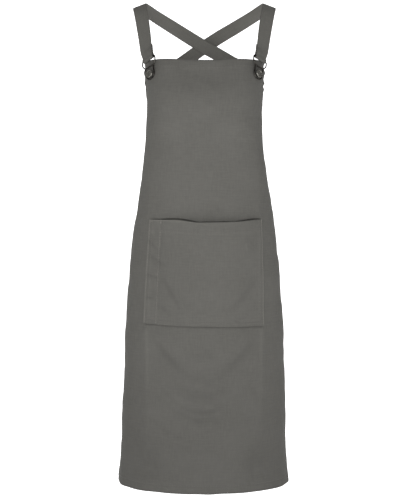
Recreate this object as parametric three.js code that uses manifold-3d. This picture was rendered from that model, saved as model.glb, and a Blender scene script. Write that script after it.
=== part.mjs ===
// Cross back apron in cotton canvas, shown as worn: a bib and skirt cut in one panel,
// a patch pocket, and two straps that hang on button-and-loop buckles and cross behind.
// Millimetres, +Z up, front towards -Y, +X is the wearer's left.
// The origin lies midway between the two straps, under them, on top of the shoulders.

import * as THREE from 'three';
import { mergeVertices } from 'three/addons/utils/BufferGeometryUtils.js';
import Module from 'manifold-3d';

const wasm = await Module();
wasm.setup();

// Panel: lengths down from the shoulders, and half-widths along the cloth
const bibDrop = 127; // shoulders down to the top edge of the bib
const panelLength = 884; // top edge of the bib to the hem
const bibHalf = 148; // centre front to the bib's side edge
const bibLift = 3.2; // the straps pull the bib's corners up by this
const bibSideEdge = 38; // straight part of the bib's side edge
const armholeDepth = 92; // bib top down to where the scoop aims
const scoopLean = 5; // the scoop aims this far outward of the bib's side edge
const wingHalf = 232; // centre front to the wing corner under the arm
const wingDrop = 23; // bib top down to the wing corner
const hemHalf = 360; // centre front to the open back edge at the hem

// Worn form: half-widths and depths that the cloth takes round the body
const chestHalfWidth = 122;
const hemHalfWidth = 185;
const frontDepth = 121; // hem: widest line forward to centre front
const backDepth = 130; // hem: widest line back to centre back
const widestAhead = 58; // bib top: how far the widest line lies ahead of the shoulders
const hemSway = 2.6; // the hem hangs this far to the wearer's right

// Cloth
const clothWall = 1.2;
const hemWall = 2.2; // turned hem, two more layers
const hemTurn = 18; // width of the turned hem
const gap = 0.3; // air between pieces that lie on each other

// Pocket, measured along the cloth
const pocketMouthWide = 237.5;
const pocketFootWide = 254;
const pocketTall = 214.5;
const pocketSkew = 4.8; // the pocket is this much taller on the wearer's left than on the right
const pocketDrop = 324.5; // bib top down to the pocket's mouth
const pocketShift = 3.3; // the mouth's middle lies this far to the wearer's left
const pocketLean = 4.6; // and the foot's middle this far back from it
const pocketWall = 1.3;
const pocketGape = 11; // how far the mouth stands off the panel
const penSlotWide = 28; // stitched-off slot on the wearer's right

// Straps
const strapWidth = 30;
const strapThick = 2.4;
const strapTail = 36; // turned-back end behind the buckle
const strapSewn = 29; // length sewn inside the wing
const shoulderHalf = 138; // centre line of the strap on the shoulder
const crossBack = 97; // straps' crossing, behind the shoulders
const crossDrop = 71.6; // straps' crossing, below the shoulders
const crossApart = 3.6; // from the crossing to the middle of each strap
const crossReach = 56; // the straps part over this distance to each side of the crossing
const outerSag = 8; // the outer strap hangs this much lower between the crossing and the wing
const wingSeat = 14; // strap's centre line below the wing corner
const seamRoom = 1.2; // air between the curved wing and the flat strap inside it

// Buckle of round wire
const wireRadius = 1.3;
const frameHalf = 18.9; // half the width of the strap end, to the middle of the wire
const loopRadius = 11.3; // button loop, to the middle of the wire
const buckleTall = 46.6; // strap bar to the bottom of the button loop
const buckleRest = 0.6; // middle of the loop above the button's axis, as it hangs slack
const secondBarDown = 19; // strap bar to the second bar
const buckleRoll = 22; // degrees that the strap's pull turns the buckle in its own plane
const buckleSwing = 3; // degrees that it lifts its inner side off the cloth

// Jeans button
const buttonInset = 35.2; // from the bib's side edge
const buttonDrop = 27; // from the bib's top edge
const capRadius = 8.5;
const capTall = 3.2;
const shankRadius = 3.6;
const capLift = 3.6; // room under the cap for the wire
const plateRadius = 6.5;
const plateTall = 1.2;

// Section rows from bib top to hem, as shares of the named sizes:
// down of panelLength, flare from chest to hem half-width, front of frontDepth,
// back of backDepth, ahead of widestAhead, and how square the outline is
const sections = [
  { down: 0.0, flare: 0.02, front: 0.525, back: 1.19, ahead: 0.87, square: 2.2 },
  { down: 0.03, flare: 0.025, front: 0.56, back: 1.2, ahead: 0.94, square: 2.5 },
  { down: 0.085, flare: -0.035, front: 0.61, back: 1.24, ahead: 1.1, square: 2.6 },
  { down: 0.2, flare: 0.025, front: 0.645, back: 1.07, ahead: 1.05, square: 2.4 },
  { down: 0.31, flare: 0.235, front: 0.72, back: 0.87, ahead: 0.85, square: 2.3 },
  { down: 0.42, flare: 0.455, front: 0.78, back: 0.9, ahead: 0.69, square: 2.35 },
  { down: 0.54, flare: 0.615, front: 0.85, back: 0.97, ahead: 0.62, square: 2.35 },
  { down: 0.72, flare: 0.765, front: 0.93, back: 0.99, ahead: 0.53, square: 2.35 },
  { down: 0.89, flare: 0.848, front: 0.975, back: 1.0, ahead: 0.5, square: 2.35 },
  { down: 1.0, flare: 0.945, front: 1.0, back: 1.0, ahead: 0.48, square: 2.35 },
];

// Pressed creases and drapes: across is a share of hemHalf, top and foot of panelLength,
// wide of hemHalf, rise of hemWall (a negative rise is a hollow), sag of panelLength
const folds = [
  { across: 0.2, top: -0.2, foot: 0.14, wide: 0.1, rise: 2.6 },
  { across: -0.2, top: -0.2, foot: 0.14, wide: 0.1, rise: 2.6 },
  { across: -0.34, top: 0.16, foot: 0.98, wide: 0.035, rise: 0.8 },
  { across: 0.335, top: 0.16, foot: 0.98, wide: 0.035, rise: 0.8 },
  { across: 0.0, top: 0.6, foot: 1.1, wide: 0.13, rise: 2.4 },
  { across: 0.52, top: 0.3, foot: 1.1, wide: 0.1, rise: 0.8 },
  { across: -0.54, top: 0.34, foot: 1.1, wide: 0.1, rise: 0.8 },
  { across: 0.8, top: 0.4, foot: 1.1, wide: 0.09, rise: 2.4 },
  { across: -0.82, top: 0.38, foot: 1.1, wide: 0.09, rise: 2.4 },
];
const foldFade = { top: 0.12, foot: 0.05 }; // each fold comes and goes over this share
const swags = [
  { down: 0.72, sag: 0.105, reach: 0.3, tall: 0.022, rise: -1.3 },
  { down: 0.765, sag: 0.02, reach: 0.14, tall: 0.012, rise: -1.1 },
];

// Strap stations from the buckle to past the crossing: out is a share of shoulderHalf,
// back of crossBack, down of crossDrop, and tipX, tipY, tipZ is the way the cloth faces
const strapStations = [
  { out: 0.873, back: -0.72, down: 1.41, tipX: 0.6, tipY: -0.75, tipZ: 0.36 },
  { out: 0.909, back: -0.53, down: 0.95, tipX: 0.48, tipY: -0.76, tipZ: 0.43 },
  { out: 0.951, back: -0.335, down: 0.47, tipX: 0.38, tipY: -0.66, tipZ: 0.65 },
  { out: 0.98, back: -0.185, down: 0.19, tipX: 0.34, tipY: -0.4, tipZ: 0.85 },
  { out: 1.0, back: 0.02, down: -0.02, tipX: 0.3, tipY: 0.0, tipZ: 0.95 },
  { out: 0.91, back: 0.25, down: 0.04, tipX: 0.22, tipY: 0.34, tipZ: 0.92 },
  { out: 0.8, back: 0.485, down: 0.155, tipX: 0.18, tipY: 0.6, tipZ: 0.78 },
  { out: 0.524, back: 0.742, down: 0.44, tipX: 0.12, tipY: 0.77, tipZ: 0.62 },
  { out: 0.238, back: 0.897, down: 0.745, tipX: 0.06, tipY: 0.85, tipZ: 0.52 },
  { out: 0.0, back: 1.0, down: 1.0, tipX: 0.0, tipY: 0.88, tipZ: 0.47 },
  { out: -0.218, back: 1.046, down: 1.23, tipX: 0.0, tipY: 0.9, tipZ: 0.44 },
  { out: -0.43, back: 1.04, down: 1.475, tipX: -0.14, tipY: 0.92, tipZ: 0.38 },
  { out: -0.545, back: 0.985, down: 1.6, tipX: -0.4, tipY: 0.88, tipZ: 0.26 },
];

// Mesh steps
const panelColumns = { bib: 14, side: 3, armhole: 11 };
const panelRows = 26;
const rowCrowding = 1.25; // rows lie closer together towards the top
const pocketColumns = 26;
const pocketRows = 14;
const sectionSteps = 90;
const wireSides = 8;
const buttonSides = 16;

const canvas = { color: '#67665f', roughness: 0.92, metalness: 0 };
const gunmetal = { color: '#6f6e6a', roughness: 0.35, metalness: 1 };

const radians = THREE.MathUtils.degToRad;
const smooth = THREE.MathUtils.smoothstep;
const mix = THREE.MathUtils.lerp;

// Curve through the table's rows, by the column named
function fromTable(rows, key, column, at) {
  let row = 0;
  while (row < rows.length - 2 && at > rows[row + 1][key]) row += 1;
  const slope = (i) => {
    const before = rows[Math.max(i - 1, 0)];
    const after = rows[Math.min(i + 1, rows.length - 1)];
    return (after[column] - before[column]) / (after[key] - before[key]);
  };
  const [start, end] = [rows[row], rows[row + 1]];
  const span = end[key] - start[key];
  const t = THREE.MathUtils.clamp((at - start[key]) / span, 0, 1);
  const t2 = t * t;
  const t3 = t2 * t;
  return (2 * t3 - 3 * t2 + 1) * start[column] + (t3 - 2 * t2 + t) * span * slope(row)
    + (3 * t2 - 2 * t3) * end[column] + (t3 - t2) * span * slope(row + 1);
}

// Outline round the body at one height, walked from centre front to centre back
const sectionCache = new Map();
function sectionAt(z) {
  const key = z.toFixed(4);
  if (sectionCache.has(key)) return sectionCache.get(key);
  const down = (-z - bibDrop) / panelLength;
  const share = (column) => fromTable(sections, 'down', column, down);
  const halfWidth = mix(chestHalfWidth, hemHalfWidth, share('flare'));
  const front = frontDepth * share('front');
  const back = backDepth * share('back');
  const widest = -widestAhead * share('ahead');
  const square = share('square');
  const points = [];
  let walked = 0;
  for (let i = 0; i <= sectionSteps; i += 1) {
    const turn = (Math.PI * i) / sectionSteps;
    const depth = turn < Math.PI / 2 ? front : back;
    const across = Math.abs(Math.sin(turn)) / halfWidth;
    const along = Math.abs(Math.cos(turn)) / depth;
    const reach = (across ** square + along ** square) ** (-1 / square);
    const x = reach * Math.sin(turn);
    const y = widest - reach * Math.cos(turn);
    if (i > 0) walked += Math.hypot(x - points[i - 1].x, y - points[i - 1].y);
    points.push({ x, y, walked });
  }
  sectionCache.set(key, points);
  return points;
}

// Bare form under the cloth: a point by its distance round from centre front, and its height
function onForm(around, z) {
  const points = sectionAt(z);
  const distance = Math.abs(around);
  let i = 1;
  while (i < points.length - 1 && points[i].walked < distance) i += 1;
  const t = (distance - points[i - 1].walked) / (points[i].walked - points[i - 1].walked);
  const x = mix(points[i - 1].x, points[i].x, t);
  const down = (-z - bibDrop) / panelLength;
  const sway = -hemSway * smooth(down, 0.72, 1);
  return new THREE.Vector3(Math.sign(around) * x + sway, mix(points[i - 1].y, points[i].y, t), z);
}

const halfWay = (z) => sectionAt(z)[sectionSteps].walked;

// Creases and drapes, as a distance outward
function relief(around, z) {
  const down = (-z - bibDrop) / panelLength;
  let out = 0;
  for (const fold of folds) {
    const off = (around / hemHalf - fold.across) / fold.wide;
    const begun = smooth(down, fold.top, fold.top + foldFade.top);
    const ended = smooth(down, fold.foot, fold.foot + foldFade.foot);
    out += fold.rise * hemWall * begun * (1 - ended) * Math.exp(-off * off);
  }
  for (const swag of swags) {
    const side = around / hemHalf / swag.reach;
    const off = (down - swag.down + swag.sag * side * side) / swag.tall;
    out += swag.rise * hemWall * Math.exp(-off * off) * Math.exp(-(side ** 6));
  }
  return out;
}

// Which way the form faces, from two short steps along it
function facing(around, z) {
  const step = 2;
  const side = onForm(around + step, z).sub(onForm(around - step, z));
  const rise = onForm(around, z + step).sub(onForm(around, z - step));
  return side.cross(rise).normalize();
}

// Middle of the panel's cloth
function onPanel(around, z) {
  return onForm(around, z).addScaledVector(facing(around, z), relief(around, z));
}

// Top edge of the half panel: bib, straight side edge, then the scoop up to the wing
const topEdge = [];
for (let i = 0; i < panelColumns.bib; i += 1) {
  const share = i / panelColumns.bib;
  topEdge.push({ around: bibHalf * share, z: -bibDrop + bibLift * smooth(share, 0.1, 0.75) });
}
for (let i = 0; i < panelColumns.side; i += 1) {
  const share = i / panelColumns.side;
  topEdge.push({ around: bibHalf, z: -bibDrop + mix(bibLift, -bibSideEdge, share) });
}
const scoop = new THREE.QuadraticBezierCurve(
  new THREE.Vector2(bibHalf, -bibDrop - bibSideEdge),
  new THREE.Vector2(bibHalf + scoopLean, -bibDrop - armholeDepth),
  new THREE.Vector2(wingHalf, -bibDrop - wingDrop),
);
for (let i = 0; i <= panelColumns.armhole; i += 1) {
  const point = scoop.getPoint(i / panelColumns.armhole);
  topEdge.push({ around: point.x, z: point.y });
}
const lastColumn = topEdge.length - 1;

// Where each column of cloth meets the hem, bib columns straight down and the rest fanned
function hemAround(column) {
  if (column <= panelColumns.bib) return topEdge[column].around;
  const fan = (column - panelColumns.bib) / (lastColumn - panelColumns.bib);
  return mix(bibHalf, hemHalf, fan);
}

// Turned hems are thicker than the cloth between them
function panelWall(column, row, top) {
  const deep = (row / panelRows) ** rowCrowding * (top.z + bibDrop + panelLength);
  const fromTop = row === 0 ? 0 : deep;
  const fromBack = (lastColumn - Math.abs(column)) * (hemHalf / lastColumn);
  const near = Math.min(fromTop, fromBack, row >= panelRows - 1 ? 0 : hemTurn * 2);
  return mix(hemWall, clothWall, smooth(near, 0, hemTurn));
}

// Closed sheet from a grid of middle points, with its wall and its four rims
function sheetGeometry(columns, rows, place) {
  const positions = [];
  const index = [];
  const width = columns + 1;
  const face = width * (rows + 1);
  const grid = [];
  for (let row = 0; row <= rows; row += 1) {
    for (let column = 0; column <= columns; column += 1) grid.push(place(column, row));
  }
  for (const side of [0.5, -0.5]) {
    for (const { point, normal, wall } of grid) {
      const p = point.clone().addScaledVector(normal, side * wall);
      positions.push(p.x, p.y, p.z);
    }
  }
  const quad = (a, b, c, d) => index.push(a, b, c, a, c, d);
  for (let row = 0; row < rows; row += 1) {
    for (let column = 0; column < columns; column += 1) {
      const a = row * width + column;
      quad(a, a + width, a + width + 1, a + 1);
      quad(face + a, face + a + 1, face + a + width + 1, face + a + width);
    }
  }
  for (let column = 0; column < columns; column += 1) {
    const top = column;
    const foot = rows * width + column;
    quad(top, top + 1, face + top + 1, face + top);
    quad(foot + 1, foot, face + foot, face + foot + 1);
  }
  for (let row = 0; row < rows; row += 1) {
    const first = row * width;
    const last = first + columns;
    quad(first + width, first, face + first, face + first + width);
    quad(last, last + width, face + last + width, face + last);
  }
  return geometryOf(positions, index);
}

function geometryOf(positions, index) {
  const geometry = new THREE.BufferGeometry();
  geometry.setAttribute('position', new THREE.Float32BufferAttribute(positions, 3));
  geometry.setIndex(index);
  return geometry;
}

// Solids for joining and cutting
function solidOf(geometry) {
  const bare = geometry.clone();
  bare.deleteAttribute('normal');
  bare.deleteAttribute('uv');
  const merged = mergeVertices(bare);
  return new wasm.Manifold(new wasm.Mesh({
    numProp: 3,
    vertProperties: new Float32Array(merged.attributes.position.array),
    triVerts: new Uint32Array(merged.index.array),
  }));
}

function geometryFrom(solid) {
  const mesh = solid.getMesh();
  return geometryOf(Array.from(mesh.vertProperties), Array.from(mesh.triVerts));
}

const apron = new THREE.Group();
apron.name = 'cross_back_apron';

function addPiece(name, geometry, finish) {
  geometry.computeVertexNormals();
  const piece = new THREE.Mesh(geometry, new THREE.MeshStandardMaterial(finish));
  piece.name = name;
  apron.add(piece);
  return piece;
}

// Buttons: where they sit, and their own axes: out of the cloth, across and up
const buttonHeight = -bibDrop - buttonDrop;
const buttonAround = bibHalf - buttonInset;

function buttonAxes(side) {
  const seat = onPanel(side * buttonAround, buttonHeight);
  const out = facing(side * buttonAround, buttonHeight);
  const level = new THREE.Vector3(0, 0, 1).cross(out).normalize();
  const up = out.clone().cross(level).normalize();
  return { seat, out, level, up };
}

// Cap, shank through the cloth and plate behind it, turned about the button's own axis
function buttonGeometry(side) {
  const { seat, out, level, up } = buttonAxes(side);
  const face = hemWall / 2 + gap;
  // How far the curved cloth falls away just past the plate's rim
  const past = plateRadius * 1.6;
  const falls = [level, up].flatMap((way) => [1, -1].map((sign) => {
    const aside = Math.hypot(way.x, way.y) * Math.sign(way.x || 1);
    const around = side * buttonAround + sign * past * aside;
    return out.dot(seat.clone().sub(onPanel(around, seat.z + sign * past * way.z)));
  }));
  const behind = face + Math.max(0, ...falls);
  const profile = [
    [0, -behind - plateTall],
    [plateRadius * 0.8, -behind - plateTall],
    [plateRadius, -behind - plateTall * 0.5],
    [plateRadius, -behind],
    [shankRadius, -behind],
    [shankRadius, face + capLift],
    [capRadius * 0.9, face + capLift],
    [capRadius, face + capLift + capTall * 0.35],
    [capRadius * 0.94, face + capLift + capTall * 0.85],
    [capRadius * 0.78, face + capLift + capTall],
    [capRadius * 0.66, face + capLift + capTall * 0.82],
    [0, face + capLift + capTall * 0.86],
  ].map(([radius, height]) => new THREE.Vector2(radius, height));
  const geometry = new THREE.LatheGeometry(profile, buttonSides);
  return placedOnAxis(geometry, seat, out);
}

function placedOnAxis(geometry, seat, axis) {
  const turn = new THREE.Quaternion().setFromUnitVectors(new THREE.Vector3(0, 1, 0), axis);
  geometry.applyQuaternion(turn);
  geometry.translate(seat.x, seat.y, seat.z);
  return mergeVertices(bareOf(geometry), 1e-4);
}

function bareOf(geometry) {
  geometry.deleteAttribute('normal');
  geometry.deleteAttribute('uv');
  return geometry;
}

// Buckle: its own axes, turned on the cloth by the pull of the strap
function buckleAxes(side) {
  const { seat, out, level, up } = buttonAxes(side);
  const roll = radians(buckleRoll) * side;
  const across = level.clone().multiplyScalar(Math.cos(roll)).addScaledVector(up, -Math.sin(roll));
  const rise = level.clone().multiplyScalar(Math.sin(roll)).addScaledVector(up, Math.cos(roll));
  const swing = new THREE.Quaternion().setFromAxisAngle(rise, radians(buckleSwing) * side);
  const lift = hemWall / 2 + gap + capLift / 2;
  const loop = seat.clone().addScaledVector(out, lift).addScaledVector(rise, buckleRest);
  const barUp = buckleTall - loopRadius;
  return { loop, across: across.applyQuaternion(swing), rise, out: out.applyQuaternion(swing), barUp };
}

// Round wire bent through a closed flat path
function wireLoop(path, { loop, across, rise, out }) {
  const positions = [];
  const index = [];
  const count = path.length;
  for (let i = 0; i < count; i += 1) {
    const before = path[(i + count - 1) % count];
    const after = path[(i + 1) % count];
    const along = new THREE.Vector2(after[0] - before[0], after[1] - before[1]).normalize();
    const centre = loop.clone().addScaledVector(across, path[i][0]).addScaledVector(rise, path[i][1]);
    const aside = across.clone().multiplyScalar(along.y).addScaledVector(rise, -along.x);
    for (let k = 0; k < wireSides; k += 1) {
      const turn = (2 * Math.PI * (k + 0.5)) / wireSides;
      const p = centre.clone()
        .addScaledVector(aside, wireRadius * Math.cos(turn))
        .addScaledVector(out, wireRadius * Math.sin(turn));
      positions.push(p.x, p.y, p.z);
      const next = (k + 1) % wireSides;
      const a = i * wireSides;
      const b = ((i + 1) % count) * wireSides;
      index.push(a + k, b + k, b + next, a + k, b + next, a + next);
    }
  }
  return geometryOf(positions, index);
}

// Outline of the wire: the button loop below, straight legs, shoulders, and the strap bar
function bucklePath(barUp) {
  const half = [];
  const loopSteps = 9;
  for (let i = 0; i <= loopSteps; i += 1) {
    const turn = -Math.PI / 2 + (Math.PI / 2) * (i / loopSteps);
    half.push([loopRadius * Math.cos(turn), loopRadius * Math.sin(turn)]);
  }
  const legTop = barUp - secondBarDown;
  const spread = frameHalf - loopRadius;
  half.push([loopRadius, legTop * 0.7]);
  half.push([loopRadius + spread * 0.15, legTop]);
  half.push([frameHalf - spread * 0.2, barUp - secondBarDown * 0.62]);
  half.push([frameHalf, barUp - secondBarDown * 0.46]);
  half.push([frameHalf, barUp - wireRadius * 2]);
  half.push([frameHalf - wireRadius * 0.5, barUp - wireRadius * 0.5]);
  half.push([frameHalf - wireRadius * 2, barUp]);
  const mirrored = half.slice(1).reverse().map(([x, y]) => [-x, y]);
  return half.concat(mirrored);
}

function buckleGeometry(side) {
  const axes = buckleAxes(side);
  const frame = solidOf(wireLoop(bucklePath(axes.barUp), axes));
  const barLong = 2 * loopRadius + (frameHalf - loopRadius) * 0.3;
  const bar = new THREE.CylinderGeometry(wireRadius * 0.9, wireRadius * 0.9, barLong, wireSides);
  const middle = axes.loop.clone().addScaledVector(axes.rise, axes.barUp - secondBarDown);
  const second = solidOf(placedOnAxis(bar, middle, axes.across));
  return geometryFrom(frame.add(second));
}

// Strap: stations hold the middle of the cloth, its facing and its width direction
function strapStation(point, out, wide) {
  return { point, out: out.clone().normalize(), wide: wide.clone().normalize() };
}

function strapRoute(side) {
  const axes = buckleAxes(side);
  const bar = axes.loop.clone().addScaledVector(axes.rise, axes.barUp);
  const bend = wireRadius + gap + strapThick / 2;
  const close = strapThick / 2 + gap;
  const at = (height, off) => bar.clone().addScaledVector(axes.rise, height).addScaledVector(axes.out, off);
  const points = [at(0, bend), at(bend * 3, close)];
  const faces = [axes.out.clone(), axes.out.clone()];
  for (const row of strapStations) {
    points.push(new THREE.Vector3(
      side * shoulderHalf * row.out,
      crossBack * row.back,
      strapThick / 2 - crossDrop * row.down,
    ));
    faces.push(new THREE.Vector3(side * row.tipX, row.tipY, row.tipZ).normalize());
  }
  // From there round the back to the inside of the opposite wing
  const seam = { around: wingHalf, z: -bibDrop - wingDrop - wingSeat };
  const leave = strapStations[strapStations.length - 1];
  const startAround = halfWay(-bibDrop) + shoulderHalf * leave.out;
  const startDown = crossDrop * leave.down;
  const slope = (seam.z + startDown) / (startAround - seam.around);
  const inset = hemWall / 2 + seamRoom + strapThick / 2;
  const wrapSteps = 6;
  const run = startAround - seam.around + strapSewn;
  const start = points[points.length - 1].clone().sub(onForm(-side * startAround, -startDown));
  for (let i = 1; i <= wrapSteps; i += 1) {
    const gone = (run * i) / wrapSteps;
    const around = startAround - gone;
    const z = -startDown + slope * gone;
    const out = facing(-side * around, z);
    const sunk = inset * smooth(i / wrapSteps, 0.1, 0.5);
    const point = onForm(-side * around, z).addScaledVector(out, relief(-side * around, z) - sunk);
    const leaving = 1 - smooth(i / wrapSteps, 0, 0.7);
    points.push(point.addScaledVector(start, leaving));
    faces.push(out.lerp(faces[faces.length - 1], leaving * 0.7).normalize());
  }
  // The wearer's left strap passes outside the other where they cross
  for (let i = 0; i < points.length; i += 1) {
    if (points[i].y < 0) continue;
    const near = Math.exp(-((points[i].x / crossReach) ** 2));
    points[i].addScaledVector(faces[i], side * crossApart * near);
    const past = -points[i].x / shoulderHalf;
    const sag = smooth(past, -0.2, 0.45) * (1 - smooth(past, 0.55, 0.8));
    points[i].z -= side > 0 ? outerSag * sag : 0;
  }
  const line = new THREE.CatmullRomCurve3(points, false, 'centripetal');
  const facings = new THREE.CatmullRomCurve3(faces, false, 'centripetal');
  const stationAt = (share) => {
    const along = line.getTangent(share);
    const across = along.clone().cross(facings.getPoint(share)).normalize();
    return strapStation(line.getPoint(share), across.clone().cross(along), across);
  };
  // The turned-back end lies behind the strap, close to it
  const route = [];
  const tailSteps = 5;
  const tailFrom = line.getUtoTmapping(0, strapTail);
  const tailTo = 1 / (points.length - 1);
  for (let i = 0; i < tailSteps; i += 1) {
    const { point, out, wide } = stationAt(mix(tailFrom, tailTo, i / (tailSteps - 1)));
    route.push(strapStation(point.addScaledVector(out, -2 * close), out.negate(), wide));
  }
  // Fold round the bar
  const bendSteps = 8;
  for (let i = 0; i <= bendSteps; i += 1) {
    const turn = (Math.PI * i) / bendSteps;
    const face = axes.out.clone().multiplyScalar(-Math.cos(turn))
      .addScaledVector(axes.rise, -Math.sin(turn));
    route.push(strapStation(bar.clone().addScaledVector(face, bend), face, axes.across));
  }
  const steps = (points.length - 1) * 3;
  for (let i = 1; i <= steps; i += 1) route.push(stationAt(i / steps));
  return route;
}

// Flat band swept along the stations
function bandGeometry(route) {
  const positions = [];
  const index = [];
  for (const { point, out, wide } of route) {
    for (const [u, v] of [[-0.5, -0.5], [0.5, -0.5], [0.5, 0.5], [-0.5, 0.5]]) {
      const p = point.clone().addScaledVector(wide, u * strapWidth).addScaledVector(out, v * strapThick);
      positions.push(p.x, p.y, p.z);
    }
  }
  const quad = (a, b, c, d) => index.push(a, b, c, a, c, d);
  for (let i = 0; i < route.length - 1; i += 1) {
    for (let k = 0; k < 4; k += 1) {
      const next = (k + 1) % 4;
      const [a, b] = [i * 4, (i + 1) * 4];
      quad(a + k, b + k, b + next, a + next);
    }
  }
  const last = (route.length - 1) * 4;
  quad(0, 1, 2, 3);
  quad(last, last + 3, last + 2, last + 1);
  return geometryOf(positions, index);
}

// Pocket: seams lie on the panel, the mouth stands off it between the seams
function pocketPoint(column, row) {
  const u = column / pocketColumns;
  const v = row / pocketRows;
  const wide = mix(pocketMouthWide, pocketFootWide, v);
  const around = pocketShift - pocketLean * v + wide * (u - 0.5);
  const z = -bibDrop - pocketDrop - (pocketTall + pocketSkew * (u - 0.5)) * v;
  const slot = penSlotWide / wide;
  const inSlot = u < slot;
  const share = inSlot ? u / slot : (u - slot) / (1 - slot);
  const belly = Math.sin(Math.PI * share) ** 0.7;
  const full = inSlot ? 0.12 : 1;
  const bag = pocketGape * full * belly * (1 - v) ** 0.8;
  const lift = hemWall / 2 + gap + pocketWall / 2;
  const normal = facing(around, z);
  const point = onForm(around, z).addScaledVector(normal, relief(around, z) + lift + bag);
  return { point, normal, wall: pocketWall };
}

function panelPoint(column, row) {
  const side = Math.sign(column - lastColumn);
  const half = Math.abs(column - lastColumn);
  const top = topEdge[half];
  const t = (row / panelRows) ** rowCrowding;
  const around = side * mix(top.around, hemAround(half), t);
  const z = mix(top.z, -bibDrop - panelLength, t);
  return { point: onPanel(around, z), normal: facing(around, z), wall: panelWall(half, row, top) };
}

// Panel with a hole for each button's shank
let panel = solidOf(sheetGeometry(lastColumn * 2, panelRows, panelPoint));
for (const side of [-1, 1]) {
  const { seat, out } = buttonAxes(side);
  const drill = new THREE.CylinderGeometry(shankRadius + gap, shankRadius + gap, hemWall * 4, buttonSides);
  panel = panel.subtract(solidOf(placedOnAxis(drill, seat, out)));
}
addPiece('apron_panel', geometryFrom(panel), canvas);
addPiece('pocket', sheetGeometry(pocketColumns, pocketRows, pocketPoint), canvas);

for (const [word, side] of [['left', 1], ['right', -1]]) {
  addPiece(`strap_${word}`, bandGeometry(strapRoute(side)), canvas);
  addPiece(`hook_${word}`, buckleGeometry(side), gunmetal);
  addPiece(`button_${word}`, buttonGeometry(side), gunmetal);
}

export default apron;
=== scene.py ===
"""Cross back apron in charcoal cotton canvas, hung as it is worn.

The cloth, straps, buckles and buttons are made here finely, from the same named sizes as the
solids. Sizes are in millimetres and are turned to metres when a mesh is made.
"""
import math

import bpy
import numpy as np
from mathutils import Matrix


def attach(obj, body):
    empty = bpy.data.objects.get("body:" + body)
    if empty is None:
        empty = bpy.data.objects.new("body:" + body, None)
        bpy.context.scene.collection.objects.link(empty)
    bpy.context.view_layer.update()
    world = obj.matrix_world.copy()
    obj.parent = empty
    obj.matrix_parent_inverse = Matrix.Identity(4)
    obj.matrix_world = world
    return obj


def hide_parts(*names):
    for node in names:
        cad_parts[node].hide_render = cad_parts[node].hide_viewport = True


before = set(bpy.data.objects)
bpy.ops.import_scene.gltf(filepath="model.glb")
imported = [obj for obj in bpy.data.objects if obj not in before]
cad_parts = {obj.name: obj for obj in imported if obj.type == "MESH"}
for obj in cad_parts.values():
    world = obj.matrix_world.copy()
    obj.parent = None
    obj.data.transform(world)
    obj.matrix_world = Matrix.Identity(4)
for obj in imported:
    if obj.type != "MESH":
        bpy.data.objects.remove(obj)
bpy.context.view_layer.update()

METRES = 0.001
SEED = 7

# The photograph's frame and the camera that took it
PHOTO_TALL = 499
SENSOR = 36.0
FOCUS_PIXELS = 1024.0
CAMERA_AT = (7.62, -2215.0, -390.18)
LOOK_DOWN = math.radians(3.3255)


def place_camera():
    lens = bpy.data.cameras.new("photo_camera")
    lens.sensor_width = SENSOR
    lens.lens = FOCUS_PIXELS / PHOTO_TALL * SENSOR
    lens.clip_end = 50.0
    camera = bpy.data.objects.new("photo_camera", lens)
    camera.location = [value * METRES for value in CAMERA_AT]
    camera.rotation_euler = (math.pi / 2 - LOOK_DOWN, 0.0, 0.0)
    bpy.context.scene.collection.objects.link(camera)
    bpy.context.scene.camera = camera


place_camera()

# Panel: lengths down from the shoulders, and half-widths along the cloth
BIB_DROP = 127.0
PANEL_LENGTH = 884.0
BIB_HALF = 148.0
BIB_LIFT = 3.2
BIB_SIDE_EDGE = 38.0
ARMHOLE_DEPTH = 92.0
SCOOP_LEAN = 5.0
WING_HALF = 232.0
WING_DROP = 23.0
HEM_HALF = 360.0
HEM_Z = -BIB_DROP - PANEL_LENGTH
MIRROR = np.array([-1.0, 1.0])

# Worn form: half-widths and depths that the cloth takes round the body
CHEST_HALF_WIDTH = 122.0
HEM_HALF_WIDTH = 185.0
FRONT_DEPTH = 121.0
BACK_DEPTH = 130.0
WIDEST_AHEAD = 58.0
HEM_SWAY = 2.6

# Cloth
CLOTH_WALL = 1.2
HEM_WALL = 2.2
HEM_TURN = 18.0
GAP = 0.3

# Pocket, measured along the cloth
POCKET_MOUTH_WIDE = 237.5
POCKET_FOOT_WIDE = 254.0
POCKET_WIDE = (POCKET_MOUTH_WIDE + POCKET_FOOT_WIDE) / 2
POCKET_TALL = 214.5
POCKET_SKEW = 4.8
POCKET_DROP = 324.5
POCKET_SHIFT = 3.3
POCKET_LEAN = 4.6
POCKET_WALL = 1.3
POCKET_GAPE = 11.0
PEN_SLOT_WIDE = 28.0
POCKET_HEM = 24.0

# Straps
STRAP_WIDTH = 30.0
STRAP_THICK = 2.4
STRAP_TAIL = 36.0
STRAP_SEWN = 29.0
SHOULDER_HALF = 138.0
CROSS_BACK = 97.0
CROSS_DROP = 71.6
CROSS_APART = 3.6
CROSS_REACH = 56.0
OUTER_SAG = 8.0
WING_SEAT = 14.0
SEAM_ROOM = 1.2

# Buckle of round wire
WIRE_RADIUS = 1.3
FRAME_HALF = 18.9
LOOP_RADIUS = 11.3
BUCKLE_TALL = 46.6
BUCKLE_REST = 0.6
SECOND_BAR_DOWN = 19.0
BUCKLE_ROLL = 22.0
BUCKLE_SWING = 3.0

# Jeans button
BUTTON_INSET = 35.2
BUTTON_DROP = 27.0
CAP_RADIUS = 8.5
CAP_TALL = 3.2
SHANK_RADIUS = 3.6
CAP_LIFT = 3.6
PLATE_RADIUS = 6.5
PLATE_TALL = 1.2

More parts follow.
